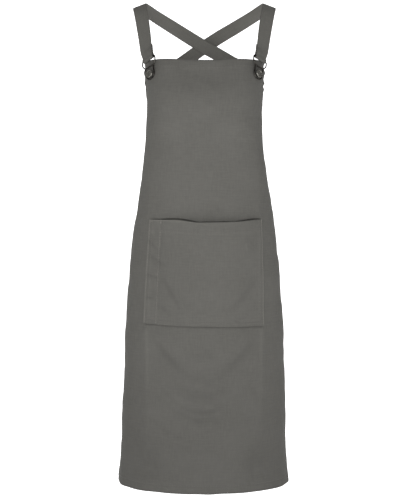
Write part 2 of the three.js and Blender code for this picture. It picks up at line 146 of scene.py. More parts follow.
# Section rows from bib top to hem, as shares of the named sizes:
# down, flare, front, back, ahead, square
SECTIONS = np.array([
    (0.0, 0.02, 0.525, 1.19, 0.87, 2.2),
    (0.03, 0.025, 0.56, 1.2, 0.94, 2.5),
    (0.085, -0.035, 0.61, 1.24, 1.1, 2.6),
    (0.2, 0.025, 0.645, 1.07, 1.05, 2.4),
    (0.31, 0.235, 0.72, 0.87, 0.85, 2.3),
    (0.42, 0.455, 0.78, 0.9, 0.69, 2.35),
    (0.54, 0.615, 0.85, 0.97, 0.62, 2.35),
    (0.72, 0.765, 0.93, 0.99, 0.53, 2.35),
    (0.89, 0.848, 0.975, 1.0, 0.5, 2.35),
    (1.0, 0.945, 1.0, 1.0, 0.48, 2.35),
])

# Pressed creases and drapes: across and wide are shares of HEM_HALF, top and foot of
# PANEL_LENGTH, rise of HEM_WALL
FOLDS = [
    dict(across=0.2, top=-0.2, foot=0.14, wide=0.1, rise=2.6),
    dict(across=-0.2, top=-0.2, foot=0.14, wide=0.1, rise=2.6),
    dict(across=-0.34, top=0.16, foot=0.98, wide=0.035, rise=0.8),
    dict(across=0.335, top=0.16, foot=0.98, wide=0.035, rise=0.8),
    dict(across=0.0, top=0.6, foot=1.1, wide=0.13, rise=2.4),
    dict(across=0.52, top=0.3, foot=1.1, wide=0.1, rise=0.8),
    dict(across=-0.54, top=0.34, foot=1.1, wide=0.1, rise=0.8),
    dict(across=0.8, top=0.4, foot=1.1, wide=0.09, rise=2.4),
    dict(across=-0.82, top=0.38, foot=1.1, wide=0.09, rise=2.4),
]
SWAGS = [
    dict(down=0.72, sag=0.105, reach=0.3, tall=0.022, rise=-1.3),
    dict(down=0.765, sag=0.02, reach=0.14, tall=0.012, rise=-1.1),
]

# Small creases that only the eye needs. Columns in mm, from the bib's top centre: across,
# down, turn clockwise from level in degrees, half-length, half-widths above and below,
# rise, and how far the ends bend up
SKIRT_CREASES = [
    (-73, 593, 51, 46, 34, 12, 4.0, 3),
    (71, 593, -51, 46, 34, 12, 4.0, 3),
    (-4, 724, 0, 52, 50, 12, -5.5, 15),
    (-4, 712, 0, 46, 9, 7, 1.6, 14),
    (-112, 842, 0, 24, 36, 14, -5.5, 0),
    (112, 844, 0, 24, 36, 14, -5.5, 0),
    (-20, 786, 8, 60, 14, 10, 0.9, 4),
]
# Painted highlights along the pressed creases below the pocket: across, from and to mm down, share
PRESSED_HIGHLIGHTS = [(-121.0, 545.0, 730.0, 0.2), (120.0, 545.0, 740.0, 0.18)]

# Strap stations from the buckle to past the crossing, as shares of SHOULDER_HALF, CROSS_BACK
# and CROSS_DROP, and the way the cloth faces there
STRAP_STATIONS = [
    (0.873, -0.72, 1.41, 0.6, -0.75, 0.36),
    (0.909, -0.53, 0.95, 0.48, -0.76, 0.43),
    (0.951, -0.335, 0.47, 0.38, -0.66, 0.65),
    (0.98, -0.185, 0.19, 0.34, -0.4, 0.85),
    (1.0, 0.02, -0.02, 0.3, 0.0, 0.95),
    (0.91, 0.25, 0.04, 0.22, 0.34, 0.92),
    (0.8, 0.485, 0.155, 0.18, 0.6, 0.78),
    (0.524, 0.742, 0.44, 0.12, 0.77, 0.62),
    (0.238, 0.897, 0.745, 0.06, 0.85, 0.52),
    (0.0, 1.0, 1.0, 0.0, 0.88, 0.47),
    (-0.218, 1.046, 1.23, 0.0, 0.9, 0.44),
    (-0.43, 1.04, 1.475, -0.14, 0.92, 0.38),
    (-0.545, 0.985, 1.6, -0.4, 0.88, 0.26),
]


def smooth(value, low, high):
    t = np.clip((value - low) / (high - low), 0.0, 1.0)
    return t * t * (3.0 - 2.0 * t)


def unit(vector):
    return vector / np.linalg.norm(vector, axis=-1, keepdims=True)


def bump(value, middle, wide):
    return np.exp(-(((value - middle) / wide) ** 2))


def run_along(points):
    """Distance walked to each point of a line."""
    steps = np.linalg.norm(np.diff(points, axis=0), axis=1)
    return np.concatenate([[0.0], np.cumsum(steps)])


def from_table(rows, column, at):
    """Smooth curve through one column of a table, by its first column."""
    keys, values = rows[:, 0], rows[:, column]
    before = np.maximum(np.arange(len(keys)) - 1, 0)
    after = np.minimum(np.arange(len(keys)) + 1, len(keys) - 1)
    slopes = (values[after] - values[before]) / (keys[after] - keys[before])
    row = np.clip(np.searchsorted(keys, at, side="left") - 1, 0, len(keys) - 2)
    span = keys[row + 1] - keys[row]
    t = np.clip((at - keys[row]) / span, 0.0, 1.0)
    rise = t * t * (3.0 - 2.0 * t)
    return (
        values[row] * (1.0 - rise)
        + values[row + 1] * rise
        + span * slopes[row] * (t ** 3 - 2.0 * t * t + t)
        + span * slopes[row + 1] * (t ** 3 - t * t)
    )


# Bare form under the cloth, as outlines walked from centre front to centre back
FORM_TOP, FORM_FOOT, FORM_STEP = -40.0, -1030.0, 3.0
WALK_STEP, WALK_STEPS, TURNS = 2.0, 260, 721


def walk_form():
    heights = np.arange(FORM_TOP, FORM_FOOT - FORM_STEP, -FORM_STEP)
    walks = np.arange(WALK_STEPS + 1) * WALK_STEP
    turns = np.linspace(0.0, math.pi, TURNS)
    table = np.empty((len(heights), len(walks), 2))
    for i, height in enumerate(heights):
        down = (-height - BIB_DROP) / PANEL_LENGTH
        flare, front, back, ahead, square = (
            float(from_table(SECTIONS, column, down)) for column in range(1, 6)
        )
        half = CHEST_HALF_WIDTH + (HEM_HALF_WIDTH - CHEST_HALF_WIDTH) * flare
        depth = np.where(turns < math.pi / 2, FRONT_DEPTH * front, BACK_DEPTH * back)
        across = np.abs(np.sin(turns)) / half
        along = np.abs(np.cos(turns)) / depth
        reach = (across ** square + along ** square) ** (-1.0 / square)
        x = reach * np.sin(turns)
        y = -WIDEST_AHEAD * ahead - reach * np.cos(turns)
        walked = run_along(np.stack([x, y], axis=1))
        table[i, :, 0] = np.interp(walks, walked, x)
        table[i, :, 1] = np.interp(walks, walked, y)
    return table


FORM = walk_form()


def half_way(height):
    """Distance along the cloth from centre front to centre back."""
    row = FORM[int(round((FORM_TOP - height) / FORM_STEP))]
    return float(np.hypot(*np.diff(row, axis=0).T).sum())


def on_form(around, z):
    around, z = np.broadcast_arrays(np.asarray(around, float), np.asarray(z, float))
    row = np.clip((FORM_TOP - z) / FORM_STEP, 0, len(FORM) - 1.001)
    step = np.clip(np.abs(around) / WALK_STEP, 0, WALK_STEPS - 0.001)
    i, k = row.astype(int), step.astype(int)
    s, t = (row - i)[..., None], (step - k)[..., None]
    level = FORM[i, k] * (1 - t) + FORM[i, k + 1] * t
    below = FORM[i + 1, k] * (1 - t) + FORM[i + 1, k + 1] * t
    place = level * (1 - s) + below * s
    sway = -HEM_SWAY * smooth((-z - BIB_DROP) / PANEL_LENGTH, 0.72, 1.0)
    return np.stack([np.sign(around) * place[..., 0] + sway, place[..., 1], z], axis=-1)


def facing(around, z, step=4.0):
    side = on_form(around + step, z) - on_form(around - step, z)
    rise = on_form(around, z + step) - on_form(around, z - step)
    return unit(np.cross(side, rise))


def relief(around, z):
    """Creases and drapes, as a distance outward."""
    down = (-z - BIB_DROP) / PANEL_LENGTH
    out = np.zeros(np.broadcast(around, z).shape)
    for fold in FOLDS:
        off = (around / HEM_HALF - fold["across"]) / fold["wide"]
        fade = smooth(down, fold["top"], fold["top"] + 0.12)
        fade = fade * (1 - smooth(down, fold["foot"], fold["foot"] + 0.05))
        out = out + fold["rise"] * HEM_WALL * fade * np.exp(-off * off)
    for swag in SWAGS:
        side = around / HEM_HALF / swag["reach"]
        off = (down - swag["down"] + swag["sag"] * side * side) / swag["tall"]
        out = out + swag["rise"] * HEM_WALL * np.exp(-off * off) * np.exp(-(side ** 6))
    return out


def on_panel(around, z):
    return on_form(around, z) + facing(around, z) * relief(around, z)[..., None]


# Where each piece lies on the cloth's pattern, in mm
POCKET_PATTERN, STRAP_PATTERN, THREAD_PATTERN = 700.0, 1500.0, 3000.0


# Meshes
def make_object(name, points, faces, uv=None, wear_and_painted_light=None):
    mesh = bpy.data.meshes.new(name)
    mesh.from_pydata((points * METRES).tolist(), [], faces)
    if uv is not None:
        layer = mesh.uv_layers.new(name="cloth_way")
        corner = np.empty(len(mesh.loops), dtype=np.int32)
        mesh.loops.foreach_get("vertex_index", corner)
        layer.data.foreach_set("uv", (uv[corner] * METRES).astype(np.float32).ravel())
    # Wear, painted highlight and painted shade for each point
    if wear_and_painted_light is not None:
        layer = mesh.attributes.new("wear_and_painted_light", "FLOAT", "POINT")
        layer.data.foreach_set("value", wear_and_painted_light.astype(np.float32))
    mesh.shade_smooth()
    piece = bpy.data.objects.new(name, mesh)
    bpy.context.scene.collection.objects.link(piece)
    return piece


def grid_quads(rows, columns, start=0, turned=False):
    index = start + np.arange(rows * columns).reshape(rows, columns)
    a, b = index[:-1, :-1].ravel(), index[1:, :-1].ravel()
    c, d = index[1:, 1:].ravel(), index[:-1, 1:].ravel()
    return np.stack([a, d, c, b] if turned else [a, b, c, d], axis=1)


RIM_TURNS = np.radians((62.0, 35.0, 0.0, -35.0, -62.0))


def cloth_sheet(name, middle, normal, outer, inner, uv, wear_and_painted_light):
    """A sheet with both its faces and a rolled rim, from a grid of middle points."""
    rows, columns = middle.shape[:2]
    count = rows * columns
    faces = [grid_quads(rows, columns), grid_quads(rows, columns, count, turned=True)]
    points = [
        (middle + normal * outer[..., None]).reshape(-1, 3),
        (middle - normal * inner[..., None]).reshape(-1, 3),
    ]
    index = np.arange(count).reshape(rows, columns)
    loop = np.concatenate([index[0, :-1], index[:-1, -1], index[-1, :0:-1], index[:0:-1, 0]])
    inward = np.concatenate([index[1, :-1], index[:-1, -2], index[-2, :0:-1], index[:0:-1, 1]])
    flat = [grid.reshape(count, -1) for grid in (middle, normal, outer, inner, uv, wear_and_painted_light)]
    edge_middle, edge_normal, edge_outer, edge_inner, edge_uv, edge_wear_and_painted_light = (
        grid[loop] for grid in flat
    )
    away = unit(edge_middle - flat[0][inward])
    core = edge_middle + edge_normal * (edge_outer - edge_inner) / 2
    half = (edge_outer + edge_inner) / 2
    rings = [loop]
    for i, turn in enumerate(RIM_TURNS):
        points.append(core + edge_normal * half * math.sin(turn) + away * half * math.cos(turn))
        rings.append(2 * count + i * len(loop) + np.arange(len(loop)))
    rings.append(loop + count)
    for upper, lower in zip(rings[:-1], rings[1:]):
        faces.append(np.stack(
            [upper, np.roll(upper, -1), np.roll(lower, -1), lower], axis=1))
    rims = len(RIM_TURNS)
    all_uv = np.concatenate([flat[4], flat[4]] + [edge_uv] * rims)
    all_wear_and_painted_light = np.concatenate([flat[5], flat[5]] + [edge_wear_and_painted_light] * rims).ravel()
    return make_object(name, np.concatenate(points), np.concatenate(faces).tolist(),
                       all_uv, all_wear_and_painted_light)


# A turned hem stands out this far, and its stitching pulls in this far, outside and inside
HEM_RISE, HEM_RISE_INSIDE = 0.35, 0.95
STITCH_PULL, STITCH_PULL_INSIDE = 0.45, 0.35
POCKET_HEM_RISE_INSIDE = 0.2
# The pocket's weight pulls the panel in this far under the pocket's foot
FOOT_DIP = 1.2


def outer_half(wall, hem, groove):
    """From the middle of the cloth to its outside."""
    return wall / 2 + HEM_RISE * hem - STITCH_PULL * groove


# Panel
PANEL_COLUMNS = dict(bib=42, side=11, armhole=36)
# Rows: from, to and step in mm below the bib's top
PANEL_ROWS = [
    (0.0, 20.0, 1.8), (20.0, 312.0, 4.8), (312.0, 336.0, 0.9), (336.0, 530.0, 4.8),
    (530.0, 552.0, 2.5), (552.0, 856.0, 4.8), (856.0, 884.0, 2.0),
]


def top_edge():
    """Half of the panel's top: bib, straight side edge, then the scoop up to the wing."""
    bib = np.linspace(0.0, BIB_HALF, PANEL_COLUMNS["bib"], endpoint=False)
    lift = -BIB_DROP + BIB_LIFT * smooth(bib / BIB_HALF, 0.1, 0.75)
    side = np.linspace(-BIB_LIFT, BIB_SIDE_EDGE, PANEL_COLUMNS["side"], endpoint=False)
    t = np.linspace(0.0, 1.0, PANEL_COLUMNS["armhole"] + 1)[:, None]
    start = np.array([BIB_HALF, -BIB_DROP - BIB_SIDE_EDGE])
    aim = np.array([BIB_HALF + SCOOP_LEAN, -BIB_DROP - ARMHOLE_DEPTH])
    wing = np.array([WING_HALF, -BIB_DROP - WING_DROP])
    scoop = start * (1 - t) ** 2 + 2 * aim * t * (1 - t) + wing * t * t
    return np.concatenate([
        np.stack([bib, lift], axis=1),
        np.stack([np.full_like(side, BIB_HALF), -BIB_DROP - side], axis=1),
        scoop,
    ])


def panel_grid():
    """Places on the flat cloth: around and z of each grid point."""
    edge = top_edge()
    last = len(edge) - 1
    columns = np.arange(last + 1)
    fan = (columns - PANEL_COLUMNS["bib"]) / (last - PANEL_COLUMNS["bib"])
    hem = np.where(columns <= PANEL_COLUMNS["bib"], edge[:, 0],
                   BIB_HALF + (HEM_HALF - BIB_HALF) * np.clip(fan, 0, 1))
    downs = np.concatenate([
        np.linspace(a, b, int(round((b - a) / step)), endpoint=False) for a, b, step in PANEL_ROWS
    ] + [[PANEL_LENGTH]]) / PANEL_LENGTH
    t = downs[:, None]
    around = edge[None, :, 0] * (1 - t) + hem[None, :] * t
    z = edge[None, :, 1] * (1 - t) + HEM_Z * t
    around = np.concatenate([-around[:, :0:-1], around], axis=1)
    z = np.concatenate([z[:, :0:-1], z], axis=1)
    return around, z


def rim_distance(around, z, line):
    """Shortest way along the cloth to a line, and how far along the line that is."""
    starts, spans = line[:-1], np.diff(line, axis=0)
    lengths = np.hypot(*spans.T)
    best = np.full(around.shape, np.inf)
    where = np.zeros(around.shape)
    for start, span, length, before in zip(starts, spans, lengths, run_along(line)):
        dx, dz = around - start[0], z - start[1]
        t = np.clip((dx * span[0] + dz * span[1]) / length ** 2, 0.0, 1.0)
        far = np.hypot(dx - t * span[0], dz - t * span[1])
        closer = far < best
        best = np.where(closer, far, best)
        where = np.where(closer, before + t * length, where)
    return best, where


# Pocket mouth: share across, how far its edge sags, and how high the dark slit above it is
MOUTH_SAG, MOUTH_SLIT = 1, 2
MOUTH = np.array([
    (0.0, 0.0, 0.4), (0.08, 0.0, 1.2), (0.17, 0.1, 2.6), (0.27, 0.4, 3.0), (0.36, 3.0, 2.6),
    (0.43, 4.7, 0.9), (0.52, 4.4, 1.3), (0.64, 4.2, 1.2), (0.75, 3.6, 0.8), (0.83, 2.4, 1.9),
    (0.91, 0.7, 2.6), (0.97, 0.1, 2.1), (1.0, 0.0, 0.4),
])
SLIT_DEPTH = 7.0


def mouth_share(around):
    return np.clip((around - POCKET_SHIFT) / POCKET_MOUTH_WIDE + 0.5, 0.0, 1.0)


def mouth_fold(around, z):
    """The panel folds in behind the pocket's mouth, where the loaded cloth hangs away."""
    share = mouth_share(around)
    slit = from_table(MOUTH, MOUTH_SLIT, share)
    line = -BIB_DROP - POCKET_DROP - from_table(MOUTH, MOUTH_SAG, share) + slit * 0.4
    inside = smooth(share, 0.0, 0.02) * (1 - smooth(share, 0.98, 1.0))
    off = (z - line) / np.maximum(slit * 0.62, 0.3)
    return -SLIT_DEPTH * inside * np.exp(-(off ** 4))


# Waves of cloth along the sewn edges: mm from crest to crest, height, and how far in they die
EDGE_WAVES = dict(
    bib=dict(every=64.0, rise=0.5, fade=26.0),
    side=dict(every=19.0, rise=1.2, fade=13.0),
    back=dict(every=57.0, rise=1.7, fade=34.0),
    hem=dict(every=71.0, rise=0.9, fade=30.0),
)
STITCH_INSET = 2.6


def edge_lines():
    """The panel's four kinds of edge, on the flat cloth."""
    edge = top_edge()
    bib = PANEL_COLUMNS["bib"]
    side = edge[bib:]
    back = np.array([edge[-1], (HEM_HALF, HEM_Z)])
    return dict(
        bib=[edge[:bib + 1], edge[:bib + 1] * MIRROR],
        side=[side, side * MIRROR],
        back=[back, back * MIRROR],
        hem=[np.array([(-HEM_HALF, HEM_Z), (HEM_HALF, HEM_Z)])],
    )


# Slow waves in the cloth: mm from crest to crest, and height of each size's waves together
WOBBLES = ((150.0, 0.7), (90.0, 0.45), (52.0, 0.26), (31.0, 0.13))
WOBBLE_COUNT = 5
# Five waves at chance angles add up to about this many times the height of one
WOBBLE_SUM = 2.2


def wobble(around, z):
    """Slow unevenness that pressed cloth keeps, in mm."""
    rng = np.random.default_rng(SEED)
    out = np.zeros(np.broadcast(around, z).shape)
    for size, rise in WOBBLES:
        for _ in range(WOBBLE_COUNT):
            turn, phase = rng.uniform(0, math.pi), rng.uniform(0, 2 * math.pi)
            stretch = rng.uniform(0.75, 1.3) * 2 * math.pi / size
            out = out + rise / WOBBLE_SUM * np.sin(
                stretch * (around * math.cos(turn) + z * math.sin(turn)) + phase)
    return out


def crease_relief(around, z, creases):
    out = np.zeros(np.broadcast(around, z).shape)
    for across, down, turn, long, above, below, rise, bend in creases:
        turn = math.radians(turn)
        dx = around - across
        dz = z + BIB_DROP + down
        along = dx * math.cos(turn) - dz * math.sin(turn)
        aside = dx * math.sin(turn) + dz * math.cos(turn) - bend * (along / long) ** 2
        out = out + rise * bump(along, 0, long) * bump(aside, 0, np.where(aside > 0, above, below))
    return out


# Painted shade on the undersides of folds, where they face down away from the light
UNDERSIDE_SHADE = 2.3


def underside(around, z, creases, step=3.0):
    """How steeply the creases face down."""
    out = crease_relief(around, z + step, creases) - crease_relief(around, z - step, creases)
    return np.maximum(out / (2 * step), 0.0)


def pocket_foot(around, z):
    """1 in the hollow just under the pocket's foot, where its weight pulls the panel in."""
    share = (around - POCKET_SHIFT + POCKET_LEAN) / POCKET_FOOT_WIDE + 0.5
    inside = smooth(share, -0.01, 0.01) * (1 - smooth(share, 0.99, 1.01))
    down = POCKET_DROP + POCKET_TALL + POCKET_SKEW * (share - 0.5)
    down = down + FOOT_BOW * np.sin(math.pi * np.clip(share, 0.0, 1.0))
    return inside * bump(-z - BIB_DROP, down + 1.0, 2.6)


def skirt_creases(around, z):
    """Drapes from the pocket's corners, and the hollows above the hem."""
    down = -z - BIB_DROP
    foot = POCKET_DROP + POCKET_TALL
    return crease_relief(around, z, SKIRT_CREASES) * smooth(down, foot + 3, foot + 22)


def uneven_wave(turn):
    """A wave whose crests vary in spacing and height, as a row of sewing leaves them."""
    return np.sin(turn + 0.9 * np.sin(turn * 0.37)) + 0.35 * np.sin(turn * 1.73 + 1.0)


def panel_fields(around, z):
    """Everything that the panel's surface does at a place: its rise, hem and wear."""
    rise = relief(around, z) + wobble(around, z) + mouth_fold(around, z)
    rise = rise + skirt_creases(around, z) - FOOT_DIP * pocket_foot(around, z)
    nearest = np.full(around.shape, np.inf)
    for kind, lines in edge_lines().items():
        wave = EDGE_WAVES[kind]
        for line in lines:
            far, along = rim_distance(around, z, line)
            nearest = np.minimum(nearest, far)
            turn = 2 * math.pi * along / wave["every"]
            fade = np.exp(-(far / wave["fade"]) ** 2)
            rise = rise + wave["rise"] * uneven_wave(turn) * fade
    hem = 1 - smooth(nearest, HEM_TURN - 0.8, HEM_TURN + 0.8)
    groove = bump(nearest, HEM_TURN - STITCH_INSET, 1.5)
    return rise, hem, groove, nearest


# Painted shade and highlight on the panel: how much darker or paler, and how far that reaches, in mm
EDGE_SHADE, EDGE_REACH = 0.6, 2.0
SEAM_HIGHLIGHT, SEAM_REACH = 0.08, 1.6
PRESSED_REACH = 4.5
METAL_SHADOW, METAL_REACH, METAL_ABOVE = 0.85, 17.0, 12.0
FOOT_SHADOW = 0.55
LOW_SHADE, SIDE_SHADE = 0.28, 0.15


def make_panel():
    around, z = panel_grid()
    rise, hem, groove, nearest = panel_fields(around, z)
    normal = facing(around, z)
    middle = on_form(around, z) + normal * rise[..., None]
    outer = outer_half(CLOTH_WALL, hem, groove)
    inner = CLOTH_WALL / 2 + HEM_RISE_INSIDE * hem - STITCH_PULL_INSIDE * groove
    # Painted shade along the folded edges, and painted highlight along the seams
    wear_and_painted_light = -EDGE_SHADE * np.exp(-nearest / EDGE_REACH)
    wear_and_painted_light = wear_and_painted_light + SEAM_HIGHLIGHT * bump(nearest, HEM_TURN, SEAM_REACH)
    # Painted highlights along the pressed creases below the pocket
    for across, start, end, share in PRESSED_HIGHLIGHTS:
        down = -z - BIB_DROP
        run = smooth(down, start, start + 10) * (1 - smooth(down, end - 90, end))
        wear_and_painted_light = wear_and_painted_light + share * run * bump(around, across, PRESSED_REACH)
    # Painted shade on the undersides of the skirt's creases
    wear_and_painted_light = wear_and_painted_light - UNDERSIDE_SHADE * underside(around, z, SKIRT_CREASES)
    # Painted shadow of the buttons and buckles on the cloth round them
    off = np.hypot(np.abs(around) - BIB_HALF + BUTTON_INSET,
                   z + BIB_DROP + BUTTON_DROP - METAL_ABOVE)
    wear_and_painted_light = wear_and_painted_light - METAL_SHADOW * bump(off, 0.0, METAL_REACH)
    # Painted contact shadow just under the pocket's foot
    wear_and_painted_light = wear_and_painted_light - FOOT_SHADOW * pocket_foot(around, z)
    # Painted shade: darker low down on the skirt, and more at its sides
    low = smooth(-z - BIB_DROP, 0.55 * PANEL_LENGTH, PANEL_LENGTH)
    wear_and_painted_light = wear_and_painted_light - low * (LOW_SHADE + SIDE_SHADE * smooth(np.abs(around), 90.0, 150.0))
    uv = np.stack([around, z], axis=-1)
    return cloth_sheet("panel_cloth", middle, normal, outer, inner, uv, wear_and_painted_light)


def panel_face(around, z):
    """Outside of the panel, for what is sewn on it."""
    rise, hem, groove, _ = panel_fields(around, z)
    normal = facing(around, z)
    outer = outer_half(CLOTH_WALL, hem, groove)
    return on_form(around, z) + normal * (rise + outer)[..., None], normal


# Pocket
POCKET_COLUMNS, POCKET_ROWS = 150, 120
# Creases in the pocket, with the columns of SKIRT_CREASES
POCKET_CREASES = [
    (-64, 462, 62, 42, 26, 9, 3.6, 0),
    (-92, 404, 30, 26, 14, 7, 2.2, 0),
    (-104, 372, 40, 20, 9, 6, 1.8, 0),
    (-80, 500, 40, 24, 12, 8, 1.6, 0),
    (72, 476, -50, 36, 20, 10, 2.2, 0),
    (-108, 436, 8, 14, 8, 5, 1.7, 0),
    (-112, 482, 4, 10, 5, 3, 1.5, 0),
    (92, 376, 55, 12, 6, 4, 1.3, 0),
    (66, 528, 35, 10, 5, 4, 1.2, 0),
]
# Seam rows, inward from the pocket's rim, and either side of the pen slot's line
SEAM_ROWS = (2.2, 9.3)
# Painted highlight on the thread of each seam row, where it catches the light
SEAM_ROW_HIGHLIGHT = (0.5, 0.15)
SLOT_SEAM = 1.3
# The pocket's bottom edge hangs this much lower in its middle
FOOT_BOW = 1.6


# Fullness of the pen slot beside the rest, and how round the bag is across and down
SLOT_FULL = 0.12
BAG_ACROSS, BAG_DOWN = 0.7, 0.8
# The turned seam allowance ends between these distances from the rim
TURNED_SEAM = (11.0, 12.4)


def pocket_fields(share, down):
    """Place, rise off the panel and hem of the pocket, by its share across and mm down."""
    v = down / POCKET_TALL
    wide = POCKET_MOUTH_WIDE + (POCKET_FOOT_WIDE - POCKET_MOUTH_WIDE) * v
    around = POCKET_SHIFT - POCKET_LEAN * v + wide * (share - 0.5)
    sag = from_table(MOUTH, MOUTH_SAG, share) * (1 - smooth(v, 0.0, 0.35))
    sag = sag + (POCKET_SKEW * (share - 0.5) + FOOT_BOW * np.sin(math.pi * share)) * v
    z = -BIB_DROP - POCKET_DROP - down - sag
    slot = PEN_SLOT_WIDE / wide
    in_slot = share < slot
    part = np.where(in_slot, share / slot, (share - slot) / (1 - slot))
    belly = np.sin(math.pi * np.clip(part, 0, 1)) ** BAG_ACROSS
    full = np.where(in_slot, SLOT_FULL, 1.0)
    bag = POCKET_GAPE * full * belly * np.clip(1 - v, 0, 1) ** BAG_DOWN
    left = share * wide
    side = np.minimum(left, wide - left)
    edge = np.minimum(side, POCKET_TALL - down)
    rise = relief(around, z) + 0.6 * wobble(around, z)
    rise = rise + bag + crease_relief(around, z, POCKET_CREASES) * smooth(edge, 2.0, 14.0)
    turned = 1 - smooth(edge, *TURNED_SEAM)
    mouth = 1 - smooth(down, POCKET_HEM - 0.8, POCKET_HEM + 0.8)
    rows = [edge - inset for inset in SEAM_ROWS] + [down - POCKET_HEM + STITCH_INSET]
    below_hem = smooth(down, POCKET_HEM - 2, POCKET_HEM)
    for off in (-SLOT_SEAM, SLOT_SEAM):
        rows.append(np.where(below_hem > 0.5, left - PEN_SLOT_WIDE - off, 99.0))
    groove = sum(bump(row, 0.0, 1.3) for row in rows)
    hem = np.maximum(turned, mouth)
    return around, z, rise, hem, np.minimum(groove, 1.0), edge


POCKET_SEAT = HEM_WALL / 2 + GAP + POCKET_WALL / 2


def crowded(steps):
    """Shares from 0 to 1, a little closer together at both ends."""
    share = np.linspace(0, 1, steps + 1)
    return share - 0.028 * np.sin(2 * math.pi * share)


# Painted highlight along the pocket's rims and its mouth's edge
RIM_HIGHLIGHT, RIM_REACH = 0.42, 1.8


def make_pocket():
    share, down = np.meshgrid(crowded(POCKET_COLUMNS), crowded(POCKET_ROWS) * POCKET_TALL)
    around, z, rise, hem, groove, edge = pocket_fields(share, down)
    normal = facing(around, z)
    middle = on_form(around, z) + normal * (rise + POCKET_SEAT)[..., None]
    outer = outer_half(POCKET_WALL, hem, groove)
    inner = POCKET_WALL / 2 + POCKET_HEM_RISE_INSIDE * hem
    left = np.minimum(share, 1 - share) * POCKET_FOOT_WIDE
    # Painted highlight along the side rims and the mouth's edge
    mouth = np.exp(-down / 2.0) * (1 - smooth(share, 0.2, 0.45))
    wear_and_painted_light = RIM_HIGHLIGHT * np.maximum(np.exp(-left / RIM_REACH), mouth)
    # Painted highlight along the turned seam's edge and the mouth hem's edge
    wear_and_painted_light = wear_and_painted_light + SEAM_HIGHLIGHT * bump(edge, 12.0, 1.4)
    wear_and_painted_light = wear_and_painted_light + SEAM_HIGHLIGHT * bump(down, POCKET_HEM, SEAM_REACH)
    # Painted shade on the undersides of the pocket's creases
    wear_and_painted_light = wear_and_painted_light - UNDERSIDE_SHADE * underside(around, z, POCKET_CREASES)
    uv = np.stack([around + POCKET_PATTERN, z], axis=-1)
    return cloth_sheet("pocket_cloth", middle, normal, outer, inner, uv, wear_and_painted_light)


def pocket_face(share, down):
    around, z, rise, hem, groove, _ = pocket_fields(share, down)
    normal = facing(around, z)
    outer = outer_half(POCKET_WALL, hem, groove) + POCKET_SEAT
    return on_form(around, z) + normal * (rise + outer)[..., None], normal


# Buttons and buckles: places and axes
def button_axes(side):
    around, z = side * (BIB_HALF - BUTTON_INSET), -BIB_DROP - BUTTON_DROP
    out = facing(around, z, step=2.0)
    level = unit(np.cross((0.0, 0.0, 1.0), out))
    return on_panel(around, z), out, level, np.cross(out, level)


def turned_about(vector, axis, angle):
    return (vector * math.cos(angle) + np.cross(axis, vector) * math.sin(angle)
            + axis * np.dot(axis, vector) * (1 - math.cos(angle)))


def buckle_axes(side):
    seat, out, level, up = button_axes(side)
    roll = math.radians(BUCKLE_ROLL) * side
    across = level * math.cos(roll) - up * math.sin(roll)
    rise = level * math.sin(roll) + up * math.cos(roll)
    swing = math.radians(BUCKLE_SWING) * side
    loop = seat + out * (HEM_WALL / 2 + GAP + CAP_LIFT / 2) + rise * BUCKLE_REST
    return loop, turned_about(across, rise, swing), rise, turned_about(out, rise, swing)


BAR_UP = BUCKLE_TALL - LOOP_RADIUS


def through(points, at):
    """Centripetal curve through points, at shares of its whole run."""
    points = np.asarray(points, float)
    last = len(points) - 1
    padded = np.concatenate([[2 * points[0] - points[1]], points, [2 * points[-1] - points[-2]]])
    p = np.clip(at, 0, 1) * last
    i = np.minimum(p.astype(int), last - 1)
    w = (p - i)[:, None]
    x0, x1, x2, x3 = (padded[i + k] for k in range(4))
    d0, d1, d2 = (np.sqrt(np.linalg.norm(b - a, axis=1))[:, None]
                  for a, b in ((x0, x1), (x1, x2), (x2, x3)))
    # Where two points are the same
    d1 = np.where(d1 < 1e-4, 1.0, d1)
    d0, d2 = np.where(d0 < 1e-4, d1, d0), np.where(d2 < 1e-4, d1, d2)
    t1 = ((x1 - x0) / d0 - (x2 - x0) / (d0 + d1) + (x2 - x1) / d1) * d1
    t2 = ((x2 - x1) / d1 - (x3 - x1) / (d1 + d2) + (x3 - x2) / d2) * d1
    return (x1 + w * t1 + w ** 2 * (-3 * x1 + 3 * x2 - 2 * t1 - t2)
            + w ** 3 * (2 * x1 - 2 * x2 + t1 + t2))


def strap_frames(points, looks, at):
    """Middle, facing and width direction at shares of a curve."""
    small = 1e-4
    along = unit(through(points, np.minimum(at + small, 1)) - through(points, at - small))
    aside = unit(np.cross(along, through(looks, at)))
    return through(points, at), np.cross(aside, along), aside


# Steps along the strap between two stations, and round the fold over the bar
STRAP_STEPS, FOLD_STEPS = 14, 25
WRAP_STATIONS = 6


